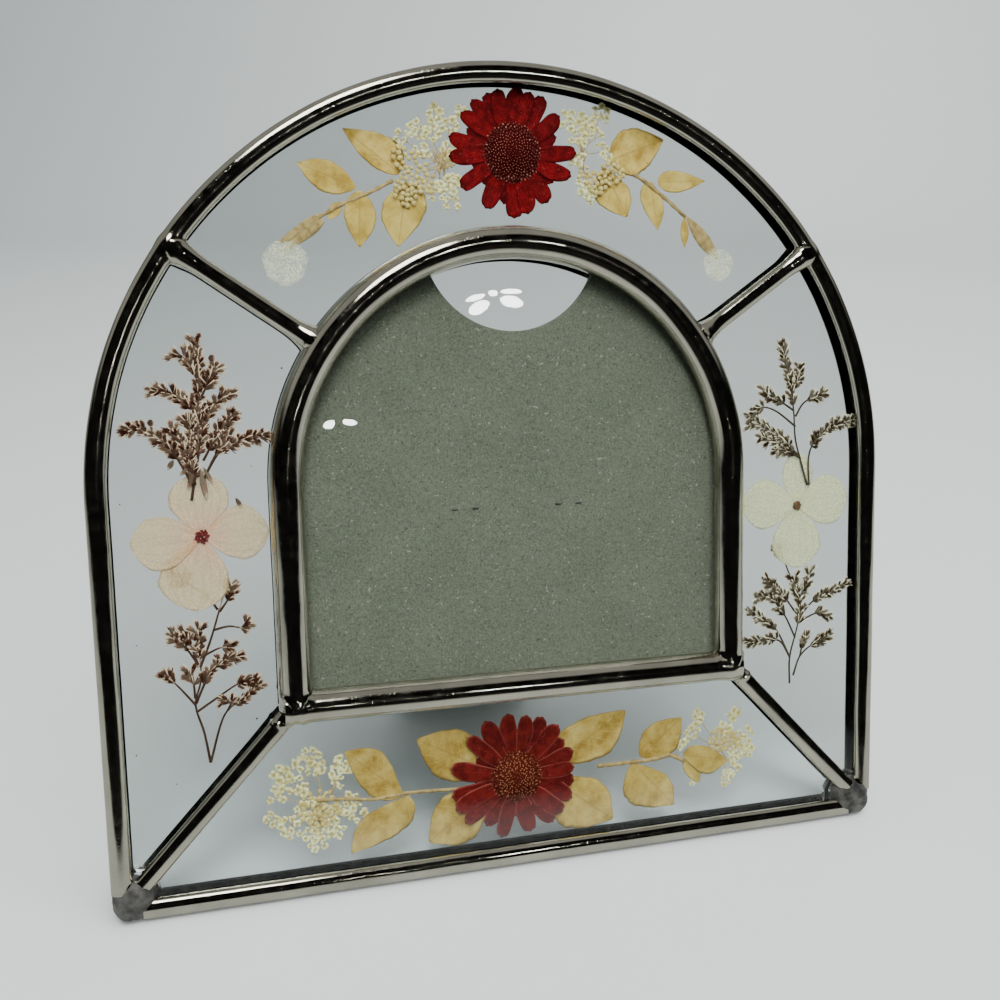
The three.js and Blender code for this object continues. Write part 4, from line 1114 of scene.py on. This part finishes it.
def build_hydrangea(node, centre, petals, paper, knob, knob_radius, depth, seed):
    """Four overlapping papery sepals round a knob.  petals are (tip, half widths) pairs."""
    rng = random.Random(seed)
    thin, heart = Draft(), Draft()
    centre = np.array(centre, float)
    for i, (tip, left, right) in enumerate(petals):
        run = np.array(tip, float) - centre
        aside = square_to(run)
        t, s = shares(26, 21, 0.03, 0.997)
        ragged = 1 + 0.015 * np.sin(17 * t + i) + 0.012 * np.sin(31 * t + 3 * i)
        half = np.sin(math.pi * t**1.35) ** 0.62 * ragged
        side = np.where(s < 0, s * right, s * left) * half
        plane = centre + run * t[..., None] + aside * side[..., None]
        crinkle = 0.03 * np.sin(9 * s + 5 * t + i) + 0.02 * np.sin(14 * t - 3 * s)
        grid = np.dstack([plane, depth + 0.09 * (i % 2) + crinkle])
        add_blade(thin, grid, PAPER_THICK, grid_paint(t, s, (i + 1) / 5))
    for i in range(KNOB_GRAINS):
        at = centre + turned(i * 2.4, knob_radius * math.sqrt(i / KNOB_GRAINS))
        lean = anyhow(rng, 0.3)
        foot, tip = flat(at - lean, depth + 0.2), flat(at + lean, depth + 0.32)
        add_spindle(heart, foot, tip, 0.34, rng.random(), 0.6, 6, 5, 0.6)
    make(f"{node}_petals", [(squeeze(thin), paper), (squeeze(heart), knob)], [node])


def build_daisies():
    top = [
        (1.9, 181.8), (4.9, 180.8), (8, 179.9), (11.8, 175.9), (15.7, 167.8), (14.4, 162.4),
        (8.8, 156.5), (3.9, 153.7), (0.6, 152.7), (-6.2, 154.8), (-11.9, 159.3), (-14.5, 166),
        (-14.4, 170.3), (-11.5, 175.6), (-8.9, 178.5), (-5.4, 180.1), (-3, 181.1),
    ]
    bottom = [
        (-3.7, 37), (1, 36.2), (5.1, 35.3), (-9.5, 35.7), (-13.7, 32.2), (-18.1, 25.1),
        (-18, 17.9), (-17.1, 14.6), (-14.8, 11), (-9.6, 9.5), (-5.9, 6.2), (1.5, 6.7),
        (7.4, 8.2), (9.8, 10.6), (12.4, 13.9), (13, 18.2), (13.1, 21.7), (12.9, 25.8),
        (10.6, 28.9), (9.1, 32.8),
    ]
    build_daisy("daisy_top", (0.3, 167.2), 6.7, top, 4, TOP_RED, TOP_DISC, 0.22, 4)
    build_daisy("daisy_bottom", (-1.8, 21.1), 6.4, bottom, 4.3, LOW_RED, LOW_DISC, 0.50, 9)


def build_sprigs():
    build_sprig(
        "leaf_sprig_top_left",
        [
            ((-25.4, 162), (-37.4, 171.1), (-26.3, 169), (-32, 163.9)),
            ((-35, 158.9), (-47.5, 163.6), (-40.5, 164.3), (-42.2, 157.7)),
            ((-34.4, 158.3), (-34.9, 146.3), (-38.1, 153.6), (-31, 152.5)),
            ((-23.9, 160.5), (-26.2, 146.6), (-29.8, 154.2), (-19.6, 155)),
            ((-38.8, 155.8), (-41.5, 152), (-41.2, 154.6), (-39, 153.2)),
        ],
        [(0.55, [(-27, 160.6), (-32, 158), (-38.2, 155.3), (-43.5, 152.4)])],
        REAR,
        buds=[
            (1.2, 0.35, (-42.4, 151.8), (-52, 144.8)), (1.1, 0.50, (-42.8, 152.6), (-52.8, 146.4)),
            (0.9, 0.40, (-42.4, 153.2), (-50.8, 148.2)), (0.7, 0.60, (-43.6, 151.6), (-49.6, 145.8)),
        ],
    )
    build_sprig(
        "leaf_sprig_top_right",
        [
            ((24, 166.4), (37.4, 171.5), (28, 173.6), (31, 163.4)),
            ((22.8, 164.9), (28.2, 153.9), (20.3, 157.9), (29, 159.9)),
            ((36.2, 161.9), (48.1, 162.4), (39.8, 164.6), (40.5, 159.5)),
            ((34.4, 162.1), (36.1, 151.1), (31.8, 158.1), (37.7, 156.6)),
            ((43.1, 153.9), (43.1, 147), (42, 150.5), (44.2, 150.5)),
        ],
        [(0.6, [(29.8, 163.6), (33.1, 161.8), (37.9, 158.3), (43.4, 153.9)])],
        REAR,
        buds=[(1.75, 0.55, (43.3, 154.4), (51.9, 144))],
    )
    build_sprig(
        "leaf_sprig_bottom_left",
        [
            ((-29.3, 20.2), (-42.5, 31.7), (-34.6, 31.3), (-37.2, 20.8)),
            ((-28.3, 20), (-41.8, 7.7), (-39.9, 14.8), (-27.8, 13)),
        ],
        [(0.55, [(-49.5, 21.2), (-43.8, 20.9), (-36, 19.8), (-28.3, 20.3), (-16, 19.7)])],
        MIDDLE,
        SHADED_LOW_LEAF,
    )
    build_sprig(
        "leaf_sprig_bottom_right",
        [
            ((30.5, 21.9), (41.5, 30.6), (32.5, 29.2), (39.5, 22.1)),
            ((28.6, 21), (39.2, 8.6), (27, 11), (38.4, 15.4)),
            ((42, 21), (54.4, 18.3), (47.2, 23), (48.2, 15.3)),
            ((42.3, 20), (46.8, 13.4), (43, 16), (46.2, 17.4)),
        ],
        [(0.7, [(19.1, 21), (26, 20.9), (34.3, 20.9), (38.7, 21.4), (42.5, 19.4)])],
        MIDDLE,
        SHADED_LOW_LEAF,
    )
    build_sprig(
        "leaf_pair_bottom_left",
        [
            ((-7, 22.5), (-25.3, 32.6), (-14, 33.4), (-20, 22.4)),
            ((-7, 19), (-23.2, 7.6), (-20, 17.8), (-12.9, 6.6)),
        ],
        [],
        REAR,
        SHADED_LOW_LEAF,
    )
    build_sprig(
        "leaf_pair_bottom_right",
        [
            ((6, 21.8), (26.3, 34), (11.4, 31.5), (22, 23.6)),
            ((6, 20), (22.8, 7), (21.6, 15.6), (9.5, 7)),
        ],
        [],
        REAR,
        SHADED_LOW_LEAF,
    )


def build_laces():
    build_lace(
        "lace_top_left",
        (-16, 164.2),
        [
            (-17.6, 175, 1.9, 6), (-21.3, 171.4, 2, 7), (-24.8, 169.6, 1.7, 6), (-18.2, 170.6, 1.8, 5),
            (-13.8, 172.8, 2, 7), (-11.8, 176.2, 1.4, 4), (-13.6, 167, 2.2, 7), (-14.2, 160.4, 2.2, 7),
            (-13.4, 156, 1.8, 6), (-17.2, 158.4, 2, 6), (-20.5, 166.6, 1.8, 4),
        ],
        [(-22.6, 163.6, 3.6, 26), (-24, 158.4, 3.2, 24), (-20, 160.2, 2.6, 14), (-25.6, 166.4, 1.6, 5)],
        MIDDLE,
        21,
        1.2,
        fibres=34,
    )
    build_lace(
        "lace_top_right",
        (17.5, 168),
        [
            (14.2, 175, 2, 8), (18, 174.4, 2.1, 9), (22.2, 176.8, 1.9, 8), (16.2, 171.2, 2.1, 8),
            (20.8, 171.6, 2, 7), (22.8, 168.4, 1.8, 5), (16, 166, 1.6, 5), (17.6, 160.4, 1.7, 6),
            (19, 157.8, 1.4, 4),
        ],
        [(24.6, 163.6, 2.8, 20), (20.6, 161.2, 2.6, 18), (17.4, 163.6, 1.6, 7)],
        MIDDLE,
        22,
        1.2,
        fibres=5,
    )
    build_lace(
        "lace_bottom_left",
        (-49, 18.2),
        [
            (-50.4, 32.5, 2, 7), (-52.3, 29.7, 2, 7), (-57.2, 28.1, 2.1, 8), (-48.9, 28.6, 1.8, 6),
            (-58.3, 23.4, 1.9, 7), (-53.8, 25, 2.2, 8), (-43, 28.9, 2, 7), (-44.3, 25.9, 2, 7),
            (-59.5, 17.6, 2, 7), (-56.3, 15.3, 2.3, 9), (-51.8, 18.9, 2.4, 9), (-51.3, 13.6, 2.4, 10),
            (-49.7, 10.4, 1.9, 7), (-45.9, 13.6, 2.2, 8), (-42.3, 17.6, 2, 7), (-39.4, 15.3, 1.7, 5),
            (-41.1, 20.1, 1.8, 5), (-46.4, 17.2, 2.2, 8),
        ],
        [(-49, 19.2, 4.6, 46)],
        REAR + 0.06,
        23,
        1.3,
        fibres=44,
    )
    build_lace(
        "lace_bottom_right",
        (53, 22),
        [
            (46.7, 30.2, 1.8, 7), (44.9, 26, 1.9, 6), (56.6, 30, 1.5, 6), (60, 24, 2, 8),
            (57.6, 19.6, 2.2, 8), (60.4, 20, 1.6, 5), (54.4, 13.2, 1.8, 7), (45.9, 14, 1.6, 5),
            (53.6, 26.4, 1.8, 6), (41.6, 23.4, 1.2, 3), (56.4, 15.6, 1.5, 4),
        ],
        [(52.8, 24, 3.2, 26), (56.2, 23.2, 2.4, 12)],
        REAR + 0.06,
        24,
        1.2,
        fibres=5,
    )


def build_statices():
    build_statice(
        "statice_left_upper",
        [
            (0.35, [(-72.8, 95), (-76, 101.5), (-78, 104.5), (-80.5, 106.5), (-83.5, 108), (-85.6, 107.6)]),
            (0.30, [(-73.4, 92), (-71, 104.5), (-71, 112), (-70.5, 119), (-70.5, 123), (-71, 126)]),
            (0.20, [(-70.5, 117), (-72.5, 122), (-74.6, 123)]),
            (0.20, [(-71, 109.5), (-73.5, 113), (-77, 115.5), (-79.6, 115.5)]),
            (0.35, [(-70.5, 113.5), (-68.5, 117.5), (-67.2, 120)]),
            (0.20, [(-70.5, 107), (-68.5, 111.5), (-66, 114), (-64.6, 114.6)]),
            (0.20, [(-70.5, 100.5), (-67, 106.5), (-64, 110)]),
            (0.50, [(-71.2, 95.5), (-68, 101), (-65.5, 103.5), (-61.5, 105), (-58, 105.4)]),
            (0.25, [(-72.4, 95.4), (-74.5, 104), (-76.5, 107)]),
            (0.15, [(-72.6, 95.2), (-73, 103), (-72.5, 107), (-73.5, 109)]),
            (0.60, [(-71.2, 95.2), (-68, 101.5), (-65, 105.5)]),
        ],
        FRONT,
        31,
        BROWN_STATICE,
        [
            (-67.6, 122.4, 0.75), (-80.8, 109, 0.75), (-73.4, 108.4, 0.9), (-72, 113.8, 0.6),
            (-53, 120, 0.22), (-88, 92, 0.16), (-60.5, 99, 0.14),
        ],
        [
            (-72.4, 98.6, 4.6, 248, 0.6, 0.12), (-71.2, 98.8, 7.2, 278, 0.7, 0.22),
            (-73.4, 99.4, 3, 222, 0.5, 0.16), (-70.6, 99.2, 4.2, 296, 0.5, 0.20),
            (-76.6, 101, 2.6, 238, 0.6, 0.12),
            (-64.2, 92.2, 2.6, 300, 0.5, 0.1),
        ],
    )
    build_statice(
        "statice_right_upper",
        [
            (
                0.60,
                [
                    (76.5, 88), (74.5, 94.5), (73, 100), (72.5, 106.5),
                    (71.5, 113.5), (70, 119.5), (69.2, 123),
                ],
            ),
            (0.35, [(72.5, 107), (68.5, 109.5), (65, 111), (64.6, 112)]),
            (0.60, [(73, 105.5), (75.5, 109), (80.6, 111)]),
            (0.70, [(73, 103), (67.5, 107), (63.5, 108), (60.6, 106)]),
            (0.25, [(74.5, 95), (69.5, 100), (64.5, 103), (61, 104)]),
            (0.30, [(74.5, 95), (70.5, 97), (68, 97)]),
            (0.45, [(77, 88), (77, 96), (80, 100.5), (84.5, 103), (88.2, 103.6)]),
            (0.30, [(72, 111), (73.6, 115), (73.8, 117.6)]),
            (0.30, [(74.5, 95), (68.5, 99), (64, 100.6)]),
        ],
        FRONT,
        32,
        OLIVE_STATICE,
    )
    build_statice(
        "statice_left_lower",
        [
            (0.80, [(-72.5, 33), (-73.5, 40), (-75, 46.5), (-73.6, 52), (-73.5, 59), (-73.5, 63)]),
            (0.75, [(-75, 46.5), (-78, 50.5), (-80.5, 53.4)]),
            (0.55, [(-74, 55.5), (-76, 59), (-78.8, 62.4)]),
            (0.55, [(-74, 55.5), (-75, 59), (-76.4, 62.6)]),
            (0.92, [(-73.5, 55), (-71, 61), (-69, 67), (-68, 70), (-67, 72)]),
            (0.80, [(-70.4, 63), (-67, 63.6), (-64, 63), (-63.4, 63.8)]),
            (0.80, [(-73.5, 57), (-69.6, 58.8), (-67.6, 59)]),
            (0.60, [(-74.8, 47), (-72, 52.5), (-68.5, 56), (-65.4, 56.8)]),
            (0.75, [(-74.6, 45), (-69.8, 48), (-65.5, 50.5), (-62.6, 50.9)]),
            (0.70, [(-72.5, 33), (-69, 43.5), (-64.5, 47), (-61.6, 49.6)]),
            (0.55, [(-68.2, 44.5), (-67.4, 46.4), (-69, 46.6)]),
            (0.50, [(-75, 48), (-75.2, 51.5), (-75.9, 53.6)]),
            (0.60, [(-74.8, 46.8), (-72.8, 51.5), (-71.8, 53.6)]),
            (0.70, [(-69.2, 67.5), (-71.5, 71), (-75, 73.6), (-77.2, 75.8)]),
            (0.55, [(-68.8, 67), (-66.8, 69.8), (-66, 71.8)]),
        ],
        REAR,
        33,
        BROWN_STATICE,
        [(-62, 42, 0.24), (-86.5, 61, 0.16), (-88, 36.5, 0.18), (-80, 29, 0.14)],
    )
    build_statice(
        "statice_right_lower",
        [
            (0.55, [(72.5, 36.5), (72.5, 43.5), (74.5, 51), (75.4, 56), (74.5, 60), (73.4, 64)]),
            (0.80, [(74.5, 59), (71, 68), (68.4, 71.8)]),
            (0.45, [(72.5, 43.5), (69.5, 48), (65, 48.5), (61, 48.5)]),
            (0.45, [(74, 48.5), (71, 54.5), (67.5, 59.4), (64, 60)]),
            (0.40, [(74.5, 54.5), (70, 60.4), (66, 64)]),
            (0.40, [(75, 53.5), (79, 57.6), (84, 59.8), (87.6, 61.2)]),
            (0.50, [(75, 52.5), (80, 54.4), (83.4, 53.6)]),
            (0.35, [(74.5, 57.5), (77, 62.6), (78, 65)]),
            (0.60, [(73.5, 38.5), (75.5, 43.5), (79.5, 46.5), (83.4, 48)]),
            (0.45, [(75.5, 43.5), (76, 46), (76.8, 48)]),
            (0.50, [(72.5, 43.5), (68.5, 51), (63.8, 54.6), (62, 56)]),
        ],
        REAR,
        34,
        OLIVE_STATICE,
    )


def build_hydrangeas():
    build_hydrangea(
        "hydrangea_left",
        (-71.6, 84),
        [
            ((-71.8, 98), 6.6, 6.2), ((-86.6, 83.2), 6.6, 5.4),
            ((-73.9, 67.6), 6.6, 8.4), ((-57.3, 84.4), 6.4, 5.8),
        ],
        LEFT_PAPER,
        RED_KNOB,
        1.5,
        MIDDLE,
        41,
    )
    build_hydrangea(
        "hydrangea_right",
        (73.8, 82.9),
        [
            ((74.1, 96.4), 4.3, 4.3), ((88.4, 84.6), 6.6, 6.4),
            ((73.9, 66.8), 6.9, 6.9), ((58.4, 84.2), 6.3, 6.4),
        ],
        RIGHT_PAPER,
        BROWN_KNOB,
        1.1,
        MIDDLE,
        42,
    )
    build_petal_disc("pale_petal_left", (-51.2, 142.6), 4.9, MIDDLE, 43)
    build_petal_disc("pale_petal_right", (51.8, 142.8), 4, MIDDLE, 44)


# ---------------------------------------------------------------- stage, light and camera

CAMERA_AT = (-69.1, 117.1, 235.8)  # in the frame's plane, mm
CAMERA_FORWARD = (0.264, -0.1167, -0.9574)
CAMERA_UP = (0.0528, 0.9929, -0.1064)
CAMERA_LENS = 37.8
MODEL_CENTRE = Vector((0, 0, 0.09))  # metres


def direction(local):
    return Vector(np.array(local) @ AXES).normalized()


def build_camera():
    data = bpy.data.cameras.new("camera")
    data.lens = CAMERA_LENS
    data.sensor_width = 36
    data.clip_start = 0.01
    camera = add_object("camera", data)
    forward, up = direction(CAMERA_FORWARD), direction(CAMERA_UP)
    right = forward.cross(up).normalized()
    up = right.cross(forward)
    turn = Matrix((right, up, -forward)).transposed().to_4x4()
    camera.matrix_world = Matrix.Translation(Vector(to_world(CAMERA_AT))) @ turn
    bpy.context.scene.camera = camera


def add_lamp(name, location, target, size, power, colour=(1, 1, 1), shape="DISK", mirrored=True):
    data = bpy.data.lights.new(name, "AREA")
    data.shape = shape
    data.size = size
    data.energy = power
    data.color = colour
    lamp = add_object(name, data)
    lamp.location = location
    lamp.rotation_euler = (Vector(target) - Vector(location)).to_track_quat("-Z", "Y").to_euler()
    lamp.visible_glossy = mirrored


LAMP_GLARE = 220  # watts for each square metre of lamp
LAMP_DISTANCE = 2.8  # metres from the camera to the ceiling lamps by way of the glass
GLASS_FACE = 2.6  # w of the photo glass's front, mm
LAMPS = (  # where each is seen in the glass (u, v), its width and height in mm, its tilt
    ((-8.7, 132.7), 57, 31, 28),
    ((-1.0, 134.0), 61, 29, -12),
    ((-9.5, 134.9), 52, 15, 16),
    ((-5.3, 135.9), 24, 16, 0),
    ((-1.0, 136.3), 55, 13, 0),
    ((-43.4, 107.4), 32, 20, 22),
    ((-38.9, 107.8), 38, 16, -10),
)


def build_ceiling_lamps():
    """Small bright lamps, each placed by mirroring its image in the photo glass."""
    side = np.cross(CAMERA_FORWARD, CAMERA_UP)
    for i, ((u, v), width, height, tilt) in enumerate(LAMPS):
        seen = np.array([u, v, GLASS_FACE]) - np.array(CAMERA_AT)
        image = np.array(CAMERA_AT) + seen / np.linalg.norm(seen) * LAMP_DISTANCE / MM
        angle = math.radians(tilt)
        along = side * math.cos(angle) + np.array(CAMERA_UP) * math.sin(angle)
        image[2] = 2 * GLASS_FACE - image[2]
        along[2] = -along[2]
        place_at = Vector(to_world(image))
        back = (place_at - MODEL_CENTRE).normalized()
        across = direction(along)
        across = (across - back * across.dot(back)).normalized()
        data = bpy.data.lights.new(f"ceiling_lamp_{i}", "AREA")
        data.shape = "ELLIPSE"
        data.size, data.size_y = width * MM, height * MM
        data.energy = LAMP_GLARE * width * height * MM**2
        lamp = add_object(data.name, data)
        turn = Matrix((across, back.cross(across), back)).transposed().to_4x4()
        lamp.matrix_world = Matrix.Translation(place_at) @ turn


def build_lamps():
    warm = (1.0, 0.985, 0.96)
    add_lamp("overhead", (0.25, -0.35, 1.5), MODEL_CENTRE, 1.5, 19, warm, "SQUARE", mirrored=False)
    panel = MODEL_CENTRE + Vector((-0.138, -0.452, 0.882)) * 1.5
    add_lamp("ceiling_panel", panel, MODEL_CENTRE, 0.60, 11.0)
    build_ceiling_lamps()


def build_world():
    world = bpy.data.worlds.new("studio")
    bpy.context.scene.world = world
    world.use_nodes = True
    tree = world.node_tree
    toward = add_node(tree, "SeparateXYZ", {0: add_node(tree, "TexCoord").outputs["Generated"]}).outputs
    depth = sums(tree, "ADD", times(tree, toward[1], 0.5), 0.5)
    room = ramp(tree, depth, [(0.50, 0.006), (0.66, 0.34)])
    dim = ramp(tree, toward[2], [(0.10, 1.0), (0.26, 0.45), (0.36, 0.95), (0.58, 0.85), (0.70, 0.05)])
    high = ramp(tree, toward[2], [(0.25, 0.0), (0.42, 1.0)])
    ceiling = ramp(tree, depth, [(0.29, 0.0), (0.36, 0.42)])
    reflected = sums(tree, "MAXIMUM", times(tree, room, dim), times(tree, high, ceiling))
    soft = ramp(tree, depth, [(0.1, (0.93, 0.95, 0.96)), (0.8, (0.44, 0.46, 0.47))])
    path = add_node(tree, "LightPath")
    seen = mix(tree, path.outputs["Is Glossy Ray"], soft, reflected)
    tree.links.new(seen, tree.nodes["Background"].inputs["Color"])
    tree.nodes["Background"].inputs["Strength"].default_value = 1.0


FLOOR_BACK, SWEEP_RADIUS, WALL_TOP = 0.75, 0.45, 1.6
TABLE_EDGE = (-0.12, -0.22)  # reflections of the table fade out between these


def build_stage():
    profile = [(-2.5, 0.0), (FLOOR_BACK, 0.0)]
    for angle in np.linspace(0, math.pi / 2, 25)[1:]:
        profile.append((FLOOR_BACK + SWEEP_RADIUS * math.sin(angle), SWEEP_RADIUS * (1 - math.cos(angle))))
    profile.append((FLOOR_BACK + SWEEP_RADIUS, WALL_TOP))
    points = [(x, y, z) for y, z in profile for x in (-2.5, 2.5)]
    faces = [(2 * i, 2 * i + 1, 2 * i + 3, 2 * i + 2) for i in range(len(profile) - 1)]
    mesh = bpy.data.meshes.new("backdrop")
    mesh.from_pydata(points, [], faces)
    mesh.shade_smooth()
    material, tree = new_material("backdrop")
    at = add_node(tree, "SeparateXYZ", {0: add_node(tree, "TexCoord").outputs["Object"]}).outputs
    # Painted shade: the backdrop's colour darkens towards the left and the back, standing in for light that
    # falls off there
    shift = sums(tree, "SUBTRACT", at[0], times(tree, at[1], 0.6))
    share = sums(tree, "ADD", times(tree, shift, 0.5), 0.5)
    paper = ramp(tree, share, [(0.0, (0.36, 0.385, 0.39)), (0.45, (0.78, 0.81, 0.81))])
    shader = finish_surface(tree, Base_Color=paper, Roughness=0.55, Specular_IOR_Level=0.2)
    aside = sums(tree, "MAXIMUM", sums(tree, "SUBTRACT", sums(tree, "ABSOLUTE", at[0]), 0.12), 0.0)
    depth = sums(tree, "ADD", at[1], times(tree, aside, 0.9))
    beyond = add_node(tree, "MapRange", {0: depth, 1: TABLE_EDGE[0], 2: TABLE_EDGE[1], 3: 0.35, 4: 1.0})
    path = add_node(tree, "LightPath")
    hidden = times(tree, beyond.outputs[0], path.outputs["Is Glossy Ray"])
    dark = add_node(tree, "BsdfDiffuse", {"Color": (0.01, 0.01, 0.01, 1)})
    show_mixed(tree, hidden, shader, dark)
    mesh.materials.append(material)
    backdrop = add_object("backdrop", mesh)


# ---------------------------------------------------------------- assembly

build_camera()
build_stage()
build_world()
build_lamps()
build_beads()
build_corner("left", (-90.3, 4.7, 0), (4.8, 4.8, 4.9), 3.0)
build_corner("right", (89.6, 4.8, 0), (5.5, 5.0, 4.9), 8.0)
build_glass()
build_board()
build_rear()
build_daisies()
build_sprigs()
build_laces()
build_statices()
build_hydrangeas()
